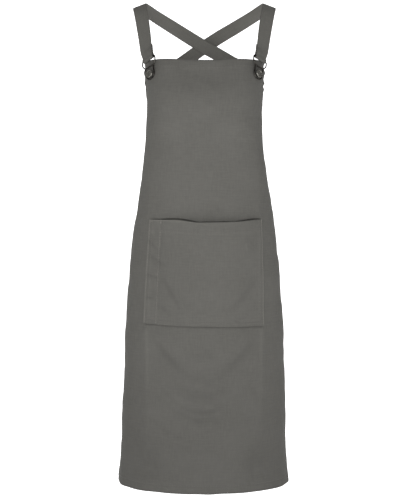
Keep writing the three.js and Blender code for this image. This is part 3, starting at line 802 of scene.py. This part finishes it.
def strap_route(side):
    """Middle, facing and width direction of the strap, from its turned end to the wing."""
    loop, across, rise, out = buckle_axes(side)
    bar = loop + rise * BAR_UP
    bend = WIRE_RADIUS + GAP + STRAP_THICK / 2
    close = STRAP_THICK / 2 + GAP
    turns = np.linspace(0, math.pi, FOLD_STEPS)[:, None]
    fold = -out * np.cos(turns) - rise * np.sin(turns)
    points = [bar + out * bend, bar + rise * bend * 3 + out * close]
    looks = [out, out]
    for outward, back, down, tip_x, tip_y, tip_z in STRAP_STATIONS:
        points.append(np.array([side * SHOULDER_HALF * outward, CROSS_BACK * back,
                                STRAP_THICK / 2 - CROSS_DROP * down]))
        looks.append(unit(np.array([side * tip_x, tip_y, tip_z])))
    seam_z = -BIB_DROP - WING_DROP - WING_SEAT
    leave_out, _, leave_down = STRAP_STATIONS[-1][:3]
    start_around = half_way(-BIB_DROP) + SHOULDER_HALF * leave_out
    start_down = CROSS_DROP * leave_down
    slope = (seam_z + start_down) / (start_around - WING_HALF)
    inset = HEM_WALL / 2 + SEAM_ROOM + STRAP_THICK / 2
    run = start_around - WING_HALF + STRAP_SEWN
    start = points[-1] - on_form(-side * start_around, -start_down)
    for i in range(1, WRAP_STATIONS + 1):
        share = i / WRAP_STATIONS
        gone = run * i / WRAP_STATIONS
        around, z = -side * (start_around - gone), -start_down + slope * gone
        face = facing(around, z, step=2.0)
        sunk = inset * smooth(share, 0.1, 0.5)
        point = on_form(around, z) + face * (relief(around, z) - sunk)
        leaving = 1 - smooth(share, 0, 0.7)
        points.append(point + start * leaving)
        looks.append(unit(face + (looks[-1] - face) * leaving * 0.7))
    for i, point in enumerate(points):
        if point[1] < 0:
            continue
        near = math.exp(-((point[0] / CROSS_REACH) ** 2))
        points[i] = point + looks[i] * side * CROSS_APART * near
        past = -points[i][0] / SHOULDER_HALF
        sag = smooth(past, -0.2, 0.45) * (1 - smooth(past, 0.55, 0.8))
        points[i][2] -= OUTER_SAG * sag if side > 0 else 0.0
    # The turned-back end lies behind the strap, close to it
    near_bar = np.linspace(0, 0.3, 301)
    tail_from = np.interp(STRAP_TAIL, run_along(through(points, near_bar)), near_bar)
    tail = strap_frames(points, looks, np.linspace(tail_from, 1 / (len(points) - 1), STRAP_STEPS))
    steps = (len(points) - 1) * STRAP_STEPS
    line = strap_frames(points, looks, np.arange(1, steps + 1) / steps)
    return (np.concatenate([tail[0] - tail[1] * 2 * close, bar + fold * bend, line[0]]),
            np.concatenate([-tail[1], fold, line[1]]),
            np.concatenate([tail[2], np.tile(across, (len(fold), 1)), line[2]]))


# Strap section: shares of the width, and of the thickness, from edge to edge of one face.
# The dips are the two rows of topstitching.
STRAP_FACE = np.array([
    (-0.5, 0.12), (-0.488, 0.36), (-0.455, 0.5), (-0.42, 0.44), (-0.405, 0.36), (-0.39, 0.44),
    (-0.34, 0.5), (-0.17, 0.52), (0.0, 0.53), (0.17, 0.52), (0.34, 0.5), (0.39, 0.44),
    (0.405, 0.36), (0.42, 0.44), (0.455, 0.5), (0.488, 0.36), (0.5, 0.12),
])
STRAP_STITCH_SHARE = 0.405
STRAP_STITCH_OUT = 0.38
STRAP_FOLD = STRAP_STEPS + FOLD_STEPS // 2
# Strap: paler over all from handling, painted shade at its edges, and painted shadow where it folds
# over the bar
STRAP_PALE, STRAP_EDGE_SHADE, FOLD_SHADOW, FOLD_REACH = 0.2, 0.6, 0.7, 7.0


def make_strap(name, side):
    middle, face, wide = strap_route(side)
    ring = np.concatenate([STRAP_FACE, STRAP_FACE[::-1] * (1, -1)])
    count = len(ring)
    walked = run_along(middle)
    points = (middle[:, None]
              + wide[:, None] * (ring[None, :, :1] * STRAP_WIDTH)
              + face[:, None] * (ring[None, :, 1:] * STRAP_THICK)).reshape(-1, 3)
    steps = len(middle)
    index = np.arange(steps * count).reshape(steps, count)
    ahead = np.roll(index, -1, axis=1)
    quads = np.stack([index[:-1], index[1:], ahead[1:], ahead[:-1]], axis=-1).reshape(-1, 4)
    faces = quads.tolist() + [index[0].tolist(), index[-1][::-1].tolist()]
    uv = np.stack([
        np.tile(ring[:, 0] * STRAP_WIDTH, steps) + STRAP_PATTERN * (1.5 + side / 2),
        np.repeat(walked, count),
    ], axis=-1)
    rim = np.abs(ring[:, 0])
    # Straps are handled most, so they are paler all over, with painted shade at their edges
    wear_and_painted_light = np.tile(STRAP_PALE - STRAP_EDGE_SHADE * smooth(rim, 0.45, 0.5), steps)
    # Painted shadow of the bar where the strap folds over it
    at_fold = np.repeat(bump(walked, walked[STRAP_FOLD], FOLD_REACH), count)
    wear_and_painted_light = wear_and_painted_light - FOLD_SHADOW * at_fold
    return make_object(name, points, faces, uv, wear_and_painted_light), walked[-1]


# Stitches
STITCH_PITCH = 3.2
STITCH_LONG = 2.5
THREAD_RADIUS = 0.36
THREAD_SIDES = 6
# The thread's middle lies this far above the cloth, in radii
STITCH_LIFT = 0.2
# Share of the stitch's length, of the thread's radius, and how far it has sunk, in radii
STITCH_RINGS = np.array([
    (-0.5, 0.35, 1.0), (-0.36, 0.85, 0.25), (-0.12, 1.0, 0.0), (0.12, 1.0, 0.0),
    (0.36, 0.85, 0.25), (0.5, 0.35, 1.0),
])


def stitch_mesh(name, places, normals, alongs, rubbing_and_painted_light):
    """One short lens of thread for each place, with how much paler it is: painted highlight on
    seam rows, and paler bar tacks.
    """
    places, normals, alongs = (np.asarray(values, float) for values in (places, normals, alongs))
    normals = unit(normals)
    alongs = unit(alongs - normals * (alongs * normals).sum(axis=1, keepdims=True))
    asides = np.cross(normals, alongs)
    turns = np.arange(THREAD_SIDES) * 2 * math.pi / THREAD_SIDES
    rings = len(STITCH_RINGS)
    count = rings * THREAD_SIDES
    points = np.empty((len(places), rings, THREAD_SIDES, 3))
    for i, (share, thick, sunk) in enumerate(STITCH_RINGS):
        middle = places + alongs * share * STITCH_LONG + normals * THREAD_RADIUS * (STITCH_LIFT - sunk)
        for k, turn in enumerate(turns):
            points[:, i, k] = middle + THREAD_RADIUS * thick * (
                asides * math.cos(turn) + normals * math.sin(turn))
    one = []
    for i in range(rings - 1):
        for k in range(THREAD_SIDES):
            n = (k + 1) % THREAD_SIDES
            a, b = i * THREAD_SIDES, (i + 1) * THREAD_SIDES
            one.append((a + k, a + n, b + n, b + k))
    one = np.array(one)
    faces = (one[None] + np.arange(len(places))[:, None, None] * count).reshape(-1, 4)
    ends = [tuple(range(THREAD_SIDES))[::-1],
            tuple(range(count - THREAD_SIDES, count))]
    caps = [[v + i * count for v in end] for i in range(len(places)) for end in ends]
    uv = np.zeros((len(places), rings, THREAD_SIDES, 2))
    uv[..., 0] = (STITCH_RINGS[:, 0] * STITCH_LONG)[None, :, None] + THREAD_PATTERN
    uv[..., 1] = (turns * THREAD_RADIUS)[None, None, :]
    return make_object(name, points.reshape(-1, 3), faces.tolist() + caps,
                       uv.reshape(-1, 2), np.repeat(rubbing_and_painted_light, count))


def walk_line(line):
    """Evenly spaced places on a flat line, and the places just after and before them."""
    line = np.asarray(line, float)
    run = run_along(line)
    at = np.arange(STITCH_PITCH / 2, run[-1], STITCH_PITCH)
    ahead = np.minimum(at + 0.5, run[-1])
    behind = np.maximum(at - 0.5, 0.0)
    return [np.stack([np.interp(s, run, line[:, k]) for k in range(2)], axis=1)
            for s in (at, ahead, behind)]


def sewn(face, line, rubbing_and_painted_light=0.0):
    """Stitches along a line on a face: places, normals, directions and painted highlight."""
    at, ahead, behind = walk_line(line)
    place, normal = face(at[:, 0], at[:, 1])
    after, _ = face(ahead[:, 0], ahead[:, 1])
    before, _ = face(behind[:, 0], behind[:, 1])
    return place, normal, after - before, np.full(len(at), rubbing_and_painted_light)


def inset_line(line, inset):
    """A line moved to its left by a distance, its corners kept."""
    way = unit(np.gradient(line, axis=0))
    return line + np.stack([-way[:, 1], way[:, 0]], axis=1) * inset


def panel_stitch_lines():
    inset = HEM_TURN - STITCH_INSET
    edge = top_edge()
    bib = PANEL_COLUMNS["bib"]
    top = edge[:bib - 1] - (0.0, inset)
    scoop = inset_line(edge[bib + 5:], -inset)
    keep = (scoop[:, 0] < WING_HALF + 6) & (scoop[:, 1] < -BIB_DROP - inset)
    scoop = scoop[keep]
    wing = edge[-1]
    back = np.array([(wing[0] - inset, wing[1] - 2), (HEM_HALF - inset, HEM_Z + 2)])
    side = np.array([(BIB_HALF - inset, -BIB_DROP), (BIB_HALF - inset, scoop[0][1])])
    hem = np.array([(-HEM_HALF + 2, HEM_Z + inset), (HEM_HALF - 2, HEM_Z + inset)])
    lines = [hem]
    for line in (top, side, scoop, back):
        lines += [line, line * MIRROR]
    return lines


def pocket_stitch_lines():
    """Each line's share of painted highlight, and its places as mm across at mid height, and mm
    down from the mouth."""
    wide = POCKET_WIDE
    lines = []
    for inset, rubbing_and_painted_light in zip(SEAM_ROWS, SEAM_ROW_HIGHLIGHT):
        low = POCKET_TALL - inset
        lines.append((rubbing_and_painted_light, [(inset, 1.0), (inset, low)]))
        lines.append((rubbing_and_painted_light, [(wide - inset, 1.0), (wide - inset, low)]))
        lines.append((0.0, [(inset, low), (wide - inset, low)]))
    hem = POCKET_HEM - STITCH_INSET
    lines.append((0.0, [(1.0, hem), (wide - 1.0, hem)]))
    # Both of the pen slot's stitch rows get painted highlight
    for off, rubbing_and_painted_light in ((-SLOT_SEAM, RIM_HIGHLIGHT), (SLOT_SEAM, SEAM_ROW_HIGHLIGHT[1])):
        across = PEN_SLOT_WIDE + off
        lines.append((rubbing_and_painted_light, [(across, POCKET_HEM), (across, POCKET_TALL - 2)]))
    return lines


def pocket_spot(across, down):
    return pocket_face(across / POCKET_WIDE, down)


TACK_LONG, TACK_COUNT = 7.0, 14
TACK_LIFT, TACK_PALE = 0.12, 0.2


def tack(face, middle, way):
    """Bar tack: close stitches across a short bar."""
    way = np.asarray(way, float) / np.hypot(*way)
    cross = np.array([-way[1], way[0]])
    at = np.asarray(middle) + way * np.linspace(-TACK_LONG / 2, TACK_LONG / 2, TACK_COUNT)[:, None]
    place, normal = face(at[:, 0], at[:, 1])
    tip, _ = face(at[:, 0] + cross[0] * 0.5, at[:, 1] + cross[1] * 0.5)
    return place + normal * TACK_LIFT, normal, tip - place, np.full(TACK_COUNT, TACK_PALE)


def gather_stitches(parts):
    return [np.concatenate(values) for values in zip(*parts)]


def strap_stitches(side):
    middle, face, wide = strap_route(side)
    walked = run_along(middle)
    at = np.arange(2.0, walked[-1] - 1, STITCH_PITCH)
    spot = [np.stack([np.interp(at, walked, grid[:, k]) for k in range(3)], axis=1)
            for grid in (middle, face, wide)]
    along = np.gradient(spot[0], axis=0)
    parts = []
    for edge in (-1, 1):
        for outside in (-1, 1):
            place = (spot[0] + spot[2] * STRAP_WIDTH * STRAP_STITCH_SHARE * edge
                     + spot[1] * STRAP_THICK * STRAP_STITCH_OUT * outside)
            parts.append((place, spot[1] * outside, along, np.zeros(len(at))))
    return gather_stitches(parts)


# Metal
WIRE_SIDES = 18
# The second bar: where the legs spread to meet it, as a share, and its radius in wires
BAR_SPREAD, BAR_THICK = 0.15, 0.9


def buckle_outline():
    """Half of the wire's outline, from the bottom of the button loop to the strap bar."""
    turns = np.linspace(-math.pi / 2, 0, 14)
    spread = FRAME_HALF - LOOP_RADIUS
    leg_top = BAR_UP - SECOND_BAR_DOWN
    half = [(LOOP_RADIUS * math.cos(t), LOOP_RADIUS * math.sin(t)) for t in turns]
    half += [
        (LOOP_RADIUS, leg_top * 0.7),
        (LOOP_RADIUS + spread * BAR_SPREAD, leg_top),
        (FRAME_HALF - spread * 0.2, BAR_UP - SECOND_BAR_DOWN * 0.62),
        (FRAME_HALF, BAR_UP - SECOND_BAR_DOWN * 0.46),
        (FRAME_HALF, BAR_UP - WIRE_RADIUS * 2),
        (FRAME_HALF - WIRE_RADIUS * 0.5, BAR_UP - WIRE_RADIUS * 0.5),
        (FRAME_HALF - WIRE_RADIUS * 2, BAR_UP),
    ]
    mirrored = [(-x, y) for x, y in half[:0:-1]]
    outline = np.array(half + mirrored)
    closed = np.concatenate([outline, outline[:1]])
    steps = np.linspace(0, 1, (len(closed) - 1) * 4 + 1)[:-1]
    return through(closed, steps)


def make_buckle(name, side):
    loop, across, rise, out = buckle_axes(side)
    sides = WIRE_SIDES
    turns = np.arange(sides) * 2 * math.pi / sides
    outline = buckle_outline()
    way = unit(np.roll(outline, -1, axis=0) - np.roll(outline, 1, axis=0))
    centre = loop + outline[:, :1] * across + outline[:, 1:] * rise
    aside = way[:, 1:] * across - way[:, :1] * rise
    points = (centre[:, None] + WIRE_RADIUS * (
        aside[:, None] * np.cos(turns)[None, :, None]
        + out[None, None] * np.sin(turns)[None, :, None])).reshape(-1, 3)
    index = np.arange(len(points)).reshape(len(outline), sides)
    nxt, ahead = np.roll(index, -1, axis=0), np.roll(index, -1, axis=1)
    faces = np.stack([index, nxt, np.roll(nxt, -1, axis=1), ahead], axis=-1).reshape(-1, 4).tolist()
    middle = loop + rise * (BAR_UP - SECOND_BAR_DOWN)
    reach = LOOP_RADIUS + (FRAME_HALF - LOOP_RADIUS) * BAR_SPREAD
    bar_points = []
    for end in (-1, 1):
        for turn in turns:
            bar_points.append(middle + across * reach * end + WIRE_RADIUS * BAR_THICK * (
                rise * math.cos(turn) + out * math.sin(turn)))
    first = len(points)
    for k in range(sides):
        n = (k + 1) % sides
        faces.append([first + n, first + k, first + sides + k, first + sides + n])
    faces.append([first + k for k in range(sides)])
    faces.append([first + sides + k for k in range(sides)][::-1])
    return make_object(name, np.concatenate([points, bar_points]), faces)


BUTTON_SIDES = 64


def make_button(name, side):
    """Jeans button: rolled rim, dished cap with a raised ring, shank and back plate."""
    seat, out, level, up = button_axes(side)
    face = HEM_WALL / 2 + GAP
    lip = face + CAP_LIFT
    behind = face + 0.6
    profile = [
        (0.0, -behind - PLATE_TALL), (PLATE_RADIUS * 0.8, -behind - PLATE_TALL),
        (PLATE_RADIUS * 0.95, -behind - PLATE_TALL * 0.85),
        (PLATE_RADIUS, -behind - PLATE_TALL * 0.5), (PLATE_RADIUS, -behind),
        (SHANK_RADIUS, -behind), (SHANK_RADIUS, lip), (CAP_RADIUS * 0.9, lip),
        (CAP_RADIUS * 0.97, lip + CAP_TALL * 0.14), (CAP_RADIUS, lip + CAP_TALL * 0.35),
        (CAP_RADIUS * 0.99, lip + CAP_TALL * 0.6), (CAP_RADIUS * 0.94, lip + CAP_TALL * 0.85),
        (CAP_RADIUS * 0.87, lip + CAP_TALL * 0.98), (CAP_RADIUS * 0.78, lip + CAP_TALL),
        (CAP_RADIUS * 0.71, lip + CAP_TALL * 0.92), (CAP_RADIUS * 0.66, lip + CAP_TALL * 0.74),
        (CAP_RADIUS * 0.6, lip + CAP_TALL * 0.72), (CAP_RADIUS * 0.5, lip + CAP_TALL * 0.78),
        (CAP_RADIUS * 0.45, lip + CAP_TALL * 0.88), (CAP_RADIUS * 0.38, lip + CAP_TALL * 0.88),
        (CAP_RADIUS * 0.33, lip + CAP_TALL * 0.8), (CAP_RADIUS * 0.15, lip + CAP_TALL * 0.84),
        (0.0, lip + CAP_TALL * 0.86),
    ]
    turns = np.arange(BUTTON_SIDES) * 2 * math.pi / BUTTON_SIDES
    points, rings = [], []
    for radius, height in profile:
        if radius == 0:
            rings.append([len(points)] * BUTTON_SIDES)
            points.append(seat + out * height)
            continue
        rings.append(list(range(len(points), len(points) + BUTTON_SIDES)))
        points += [seat + out * height + radius * (level * math.cos(t) + up * math.sin(t))
                   for t in turns]
    faces = []
    for low, high in zip(rings[:-1], rings[1:]):
        for k in range(BUTTON_SIDES):
            n = (k + 1) % BUTTON_SIDES
            corners = [low[k], low[n], high[n], high[k]]
            faces.append(list(dict.fromkeys(corners)))
    return make_object(name, np.array(points), faces)


# Materials
def to_linear(hex_colour):
    """sRGB hex to linear red, green, blue and alpha."""
    values = [int(hex_colour[i:i + 2], 16) / 255 for i in (1, 3, 5)]
    return (*[v / 12.92 if v <= 0.04045 else ((v + 0.055) / 1.055) ** 2.4 for v in values], 1.0)


def add_node(tree, kind, inputs=None, **settings):
    """Adds a node, sets its settings, and sets or links its inputs."""
    made = tree.nodes.new(kind)
    for key, value in settings.items():
        setattr(made, key, value)
    for key, value in (inputs or {}).items():
        if isinstance(value, bpy.types.NodeSocket):
            tree.links.new(value, made.inputs[key])
        else:
            made.inputs[key].default_value = value
    return made


def new_material(name):
    material = bpy.data.materials.new(name)
    material.use_nodes = True
    material.node_tree.nodes.clear()
    return material, material.node_tree


def colour_mix(tree, amount, first, second, blend="MIX"):
    made = add_node(tree, "ShaderNodeMix", {0: amount, 6: first, 7: second},
                    data_type="RGBA", blend_type=blend)
    return made.outputs[2]


def share_of(tree, value, low, high, to_low=0.0, to_high=1.0):
    return add_node(tree, "ShaderNodeMapRange", {
        "Value": value, "From Min": low, "From Max": high,
        "To Min": to_low, "To Max": to_high}).outputs["Result"]


def wave_scale(spacing):
    """Scale that gives a wave texture one band in each so many mm."""
    return 2 * math.pi / 20.0 * 1000.0 / spacing


def noise(tree, place, scale, detail, roughness=0.5):
    return add_node(tree, "ShaderNodeTexNoise", {
        "Vector": place, "Scale": scale, "Detail": detail, "Roughness": roughness,
    }).outputs["Fac"]


def bands(tree, place, spacing, direction="X", distortion=0.0):
    return add_node(
        tree, "ShaderNodeTexWave",
        {"Vector": place, "Scale": wave_scale(spacing), "Distortion": distortion},
        wave_type="BANDS", bands_direction=direction, wave_profile="SIN").outputs["Fac"]


def mapped(tree, place, **settings):
    return add_node(tree, "ShaderNodeMapping", {"Vector": place, **settings}).outputs["Vector"]


def bumped(tree, height, strength, distance):
    return add_node(tree, "ShaderNodeBump", {
        "Height": height, "Strength": strength, "Distance": distance}).outputs["Normal"]


def finish_material(tree, shader):
    add_node(tree, "ShaderNodeOutputMaterial", {"Surface": shader.outputs["BSDF"]})


# Thread spacing of the canvas is about 0.6 mm. It is drawn at 1.5 mm, because finer threads
# vanish even in a close view.
THREAD_SPACING = 1.5
# Slubs, the thick places in a yarn, are 1 mm by 10 mm. They are drawn 3 mm by 22 mm, so that
# they just show from the photograph's distance.
SLUB_WIDE, SLUB_LONG = 3.0, 22.0


def make_canvas():
    """Plain-woven cotton canvas, piece-dyed charcoal: a matt cloth with an even grid of threads,
    darker and lighter yarns both ways, paler on the straps from handling, with painted highlights
    on rims, seams and pressed creases and painted shade in folds, at edges, low on the skirt,
    under the pocket and round the metal. It has hardly any gloss."""
    material, tree = new_material("cotton_canvas_charcoal")
    way = add_node(tree, "ShaderNodeUVMap", uv_map="cloth_way").outputs["UV"]
    # The attribute holds wear, painted highlight above zero and painted shade below zero
    rubbing_and_painted_light = add_node(tree, "ShaderNodeAttribute", attribute_name="wear_and_painted_light").outputs["Fac"]
    per_thread = 1000.0 / THREAD_SPACING

    threads = [bands(tree, way, THREAD_SPACING, direction) for direction in ("X", "Y")]
    over = add_node(tree, "ShaderNodeTexChecker", {"Vector": way, "Scale": per_thread})
    weave = add_node(tree, "ShaderNodeMix", {
        0: over.outputs["Fac"], 2: threads[0], 3: threads[1]}).outputs[0]

    wide, long = 1000 / SLUB_WIDE, 1000 / SLUB_LONG
    slubs = [noise(tree, mapped(tree, way, Scale=stretch), 1.0, 3.0, 0.6)
             for stretch in ((wide, long, 1), (long, wide, 1))]
    yarns = add_node(tree, "ShaderNodeMath", {0: slubs[0], 1: slubs[1]},
                     operation="ADD").outputs["Value"]
    patches = noise(tree, way, 14.0, 3.0, 0.55)

    dyed = colour_mix(tree, share_of(tree, yarns, 0.62, 1.38), to_linear("#504f4c"),
                      to_linear("#595854"))
    faded = colour_mix(tree, share_of(tree, patches, 0.35, 0.65, 0.0, 0.25), dyed,
                       to_linear("#5b5a57"))
    # Paler where the straps are handled, and painted highlights on rims, seams and pressed creases
    highlight_and_wear_amount = share_of(tree, rubbing_and_painted_light, 0.0, 1.0, 0.0, 0.6)
    colour = colour_mix(tree, highlight_and_wear_amount, faded, to_linear("#7c7a74"))
    # Painted shade where the attribute goes below zero: undersides of folds, edges, low skirt, the
    # pocket's foot and round the metal
    hollow = share_of(tree, rubbing_and_painted_light, 0.0, -1.0, 0.0, 0.6)
    colour = colour_mix(tree, hollow, colour, to_linear("#3d3c3a"))
    shade = share_of(tree, weave, 0.0, 1.0, 0.9, 1.04)
    colour = colour_mix(tree, 1.0, colour, shade, blend="MULTIPLY")

    height = add_node(tree, "ShaderNodeMath", {0: yarns, 1: 0.35, 2: weave},
                      operation="MULTIPLY_ADD").outputs["Value"]
    raised = bumped(tree, height, 0.25, 0.0003)
    roughness = share_of(tree, yarns, 0.6, 1.4, 0.96, 0.86)
    shader = add_node(tree, "ShaderNodeBsdfPrincipled", {
        "Base Color": colour, "Roughness": roughness, "Normal": raised, "IOR": 1.47,
        "Specular IOR Level": 0.1, "Sheen Weight": 0.02, "Sheen Roughness": 0.5})
    finish_material(tree, shader)
    return material


def make_thread():
    """Spun polyester sewing thread dyed to match: a twisted cord, only a little glossier and
    paler than the cloth, so that a seam shows as a faint line where it catches the light."""
    material, tree = new_material("polyester_thread_grey")
    way = add_node(tree, "ShaderNodeUVMap", uv_map="cloth_way").outputs["UV"]
    # Two plies twisted about 0.7 mm apart
    lean = mapped(tree, way, Rotation=(0.0, 0.0, math.radians(38.0)))
    plies = bands(tree, lean, 0.7, distortion=0.6)
    rubbing_and_painted_light = add_node(tree, "ShaderNodeAttribute", attribute_name="wear_and_painted_light").outputs["Fac"]
    colour = colour_mix(tree, plies, to_linear("#545250"), to_linear("#62605b"))
    # Painted highlight on stitch rows that catch the light, and paler bar tacks
    colour = colour_mix(tree, rubbing_and_painted_light, colour, to_linear("#8d8a83"))
    raised = bumped(tree, plies, 0.4, 0.0002)
    shader = add_node(tree, "ShaderNodeBsdfPrincipled", {
        "Base Color": colour, "Roughness": share_of(tree, plies, 0.0, 1.0, 0.86, 0.74),
        "Normal": raised, "IOR": 1.5, "Specular IOR Level": 0.25})
    finish_material(tree, shader)
    return material


def make_black_nickel(name, dark, light, roughness):
    """Black nickel plating on steel: a dark smoky mirror, hazed by fine rubbing, with the plating
    thinned to a brighter tone in small patches."""
    material, tree = new_material(name)
    place = add_node(tree, "ShaderNodeTexCoord").outputs["Object"]
    rubbing = noise(tree, place, 420.0, 4.0, 0.65)
    # Hairlines from handling, about 0.15 mm apart
    hairlines = noise(tree, mapped(tree, place, Scale=(900.0, 6000.0, 900.0)), 1.0, 2.0)
    colour = colour_mix(tree, share_of(tree, rubbing, 0.42, 0.68), to_linear(dark),
                        to_linear(light))
    haze = share_of(tree, hairlines, 0.3, 0.7, roughness - 0.06, roughness + 0.1)
    raised = bumped(tree, hairlines, 0.12, 0.00005)
    shader = add_node(tree, "ShaderNodeBsdfPrincipled", {
        "Base Color": colour, "Metallic": 1.0, "Roughness": haze, "Normal": raised,
        "Specular Tint": to_linear("#7d7b78")})
    finish_material(tree, shader)
    return material


def dress(piece, material, slot, *nodes):
    piece.data.materials.append(material)
    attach(piece, "root")
    if nodes:
        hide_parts(*nodes)


# The whole apron
canvas = make_canvas()
thread = make_thread()
wire_finish = make_black_nickel("black_nickel_wire", "#282624", "#55524e", 0.3)
button_finish = make_black_nickel("black_nickel_button", "#605e59", "#989690", 0.26)

panel = make_panel()
dress(panel, canvas, "canvas", "apron_panel")
pocket = make_pocket()
dress(pocket, canvas, "canvas", "pocket")

panel_seams = stitch_mesh("panel_stitches", *gather_stitches(
    [sewn(panel_face, line) for line in panel_stitch_lines()]))
dress(panel_seams, thread, "canvas")

corners = [tack(pocket_spot, (x, 3.0), (0.0, 1.0))
           for x in (2.4, PEN_SLOT_WIDE, POCKET_WIDE - 2.4)]
pocket_seams = stitch_mesh("pocket_stitches", *gather_stitches(
    [sewn(pocket_spot, line, rubbing_and_painted_light) for rubbing_and_painted_light, line in pocket_stitch_lines()] + corners))
dress(pocket_seams, thread, "canvas")

for word, side in (("left", 1), ("right", -1)):
    strap, strap_length = make_strap(f"strap_band_{word}", side)
    dress(strap, canvas, "canvas", f"strap_{word}")
    seams = stitch_mesh(f"strap_stitches_{word}", *strap_stitches(side))
    dress(seams, thread, "canvas")
    dress(make_buckle(f"buckle_wire_{word}", side), wire_finish, "dark_metal", f"hook_{word}")
    dress(make_button(f"jeans_button_{word}", side), button_finish, "dark_metal",
          f"button_{word}")

# Studio: a pale floor that curves up into the backdrop, and soft light from all round
FLOOR_DROP = 1.40
SWEEP_GLOW = 0.85
AIR_GLOW = 0.43
# Name, place and aim in metres, size, and watts
LIGHTS = [
    ("key_window", (-0.2, -1.4, -0.2), (0, 0, -0.45), (0.7, 0.7), 13.2),
    ("fill_window", (1.2, -1.5, -0.3), (0, 0, -0.4), (0.7, 0.7), 5.0),
]


def make_sweep():
    depth, tall, bend, half = 3.2, 4.6, 1.2, 6.0
    outline = [(-4.0, 0.0)]
    for turn in np.linspace(0, math.pi / 2, 24):
        outline.append((depth - bend + bend * math.sin(turn), bend - bend * math.cos(turn)))
    outline.append((depth, tall))
    points = np.array([(x, y, z - FLOOR_DROP) for y, z in outline for x in (-half, half)])
    faces = [(2 * i, 2 * i + 1, 2 * i + 3, 2 * i + 2) for i in range(len(outline) - 1)]
    sweep = make_object("studio_sweep", points / METRES, faces)
    material, tree = new_material("painted_sweep_white")
    shader = add_node(tree, "ShaderNodeBsdfPrincipled", {
        "Base Color": to_linear("#f6f6f6"), "Roughness": 0.9,
        "Emission Color": to_linear("#ffffff"), "Emission Strength": SWEEP_GLOW})
    finish_material(tree, shader)
    sweep.data.materials.append(material)


make_sweep()


def soft_light(name, at, aim, size, watts):
    light = bpy.data.lights.new(name, "AREA")
    light.shape = "RECTANGLE"
    light.size, light.size_y = size
    light.energy = watts
    lamp = bpy.data.objects.new(name, light)
    lamp.location = at
    way = unit(np.array(at) - np.array(aim))
    lamp.rotation_euler = (math.acos(way[2]), 0.0, math.atan2(way[0], -way[1]))
    bpy.context.scene.collection.objects.link(lamp)


for light in LIGHTS:
    soft_light(*light)

world = bpy.data.worlds.new("studio_air")
bpy.context.scene.world = world
world.use_nodes = True
air = world.node_tree.nodes["Background"]
air.inputs["Color"].default_value = to_linear("#ffffff")
air.inputs["Strength"].default_value = AIR_GLOW
bpy.context.scene.view_settings.view_transform = "Standard"
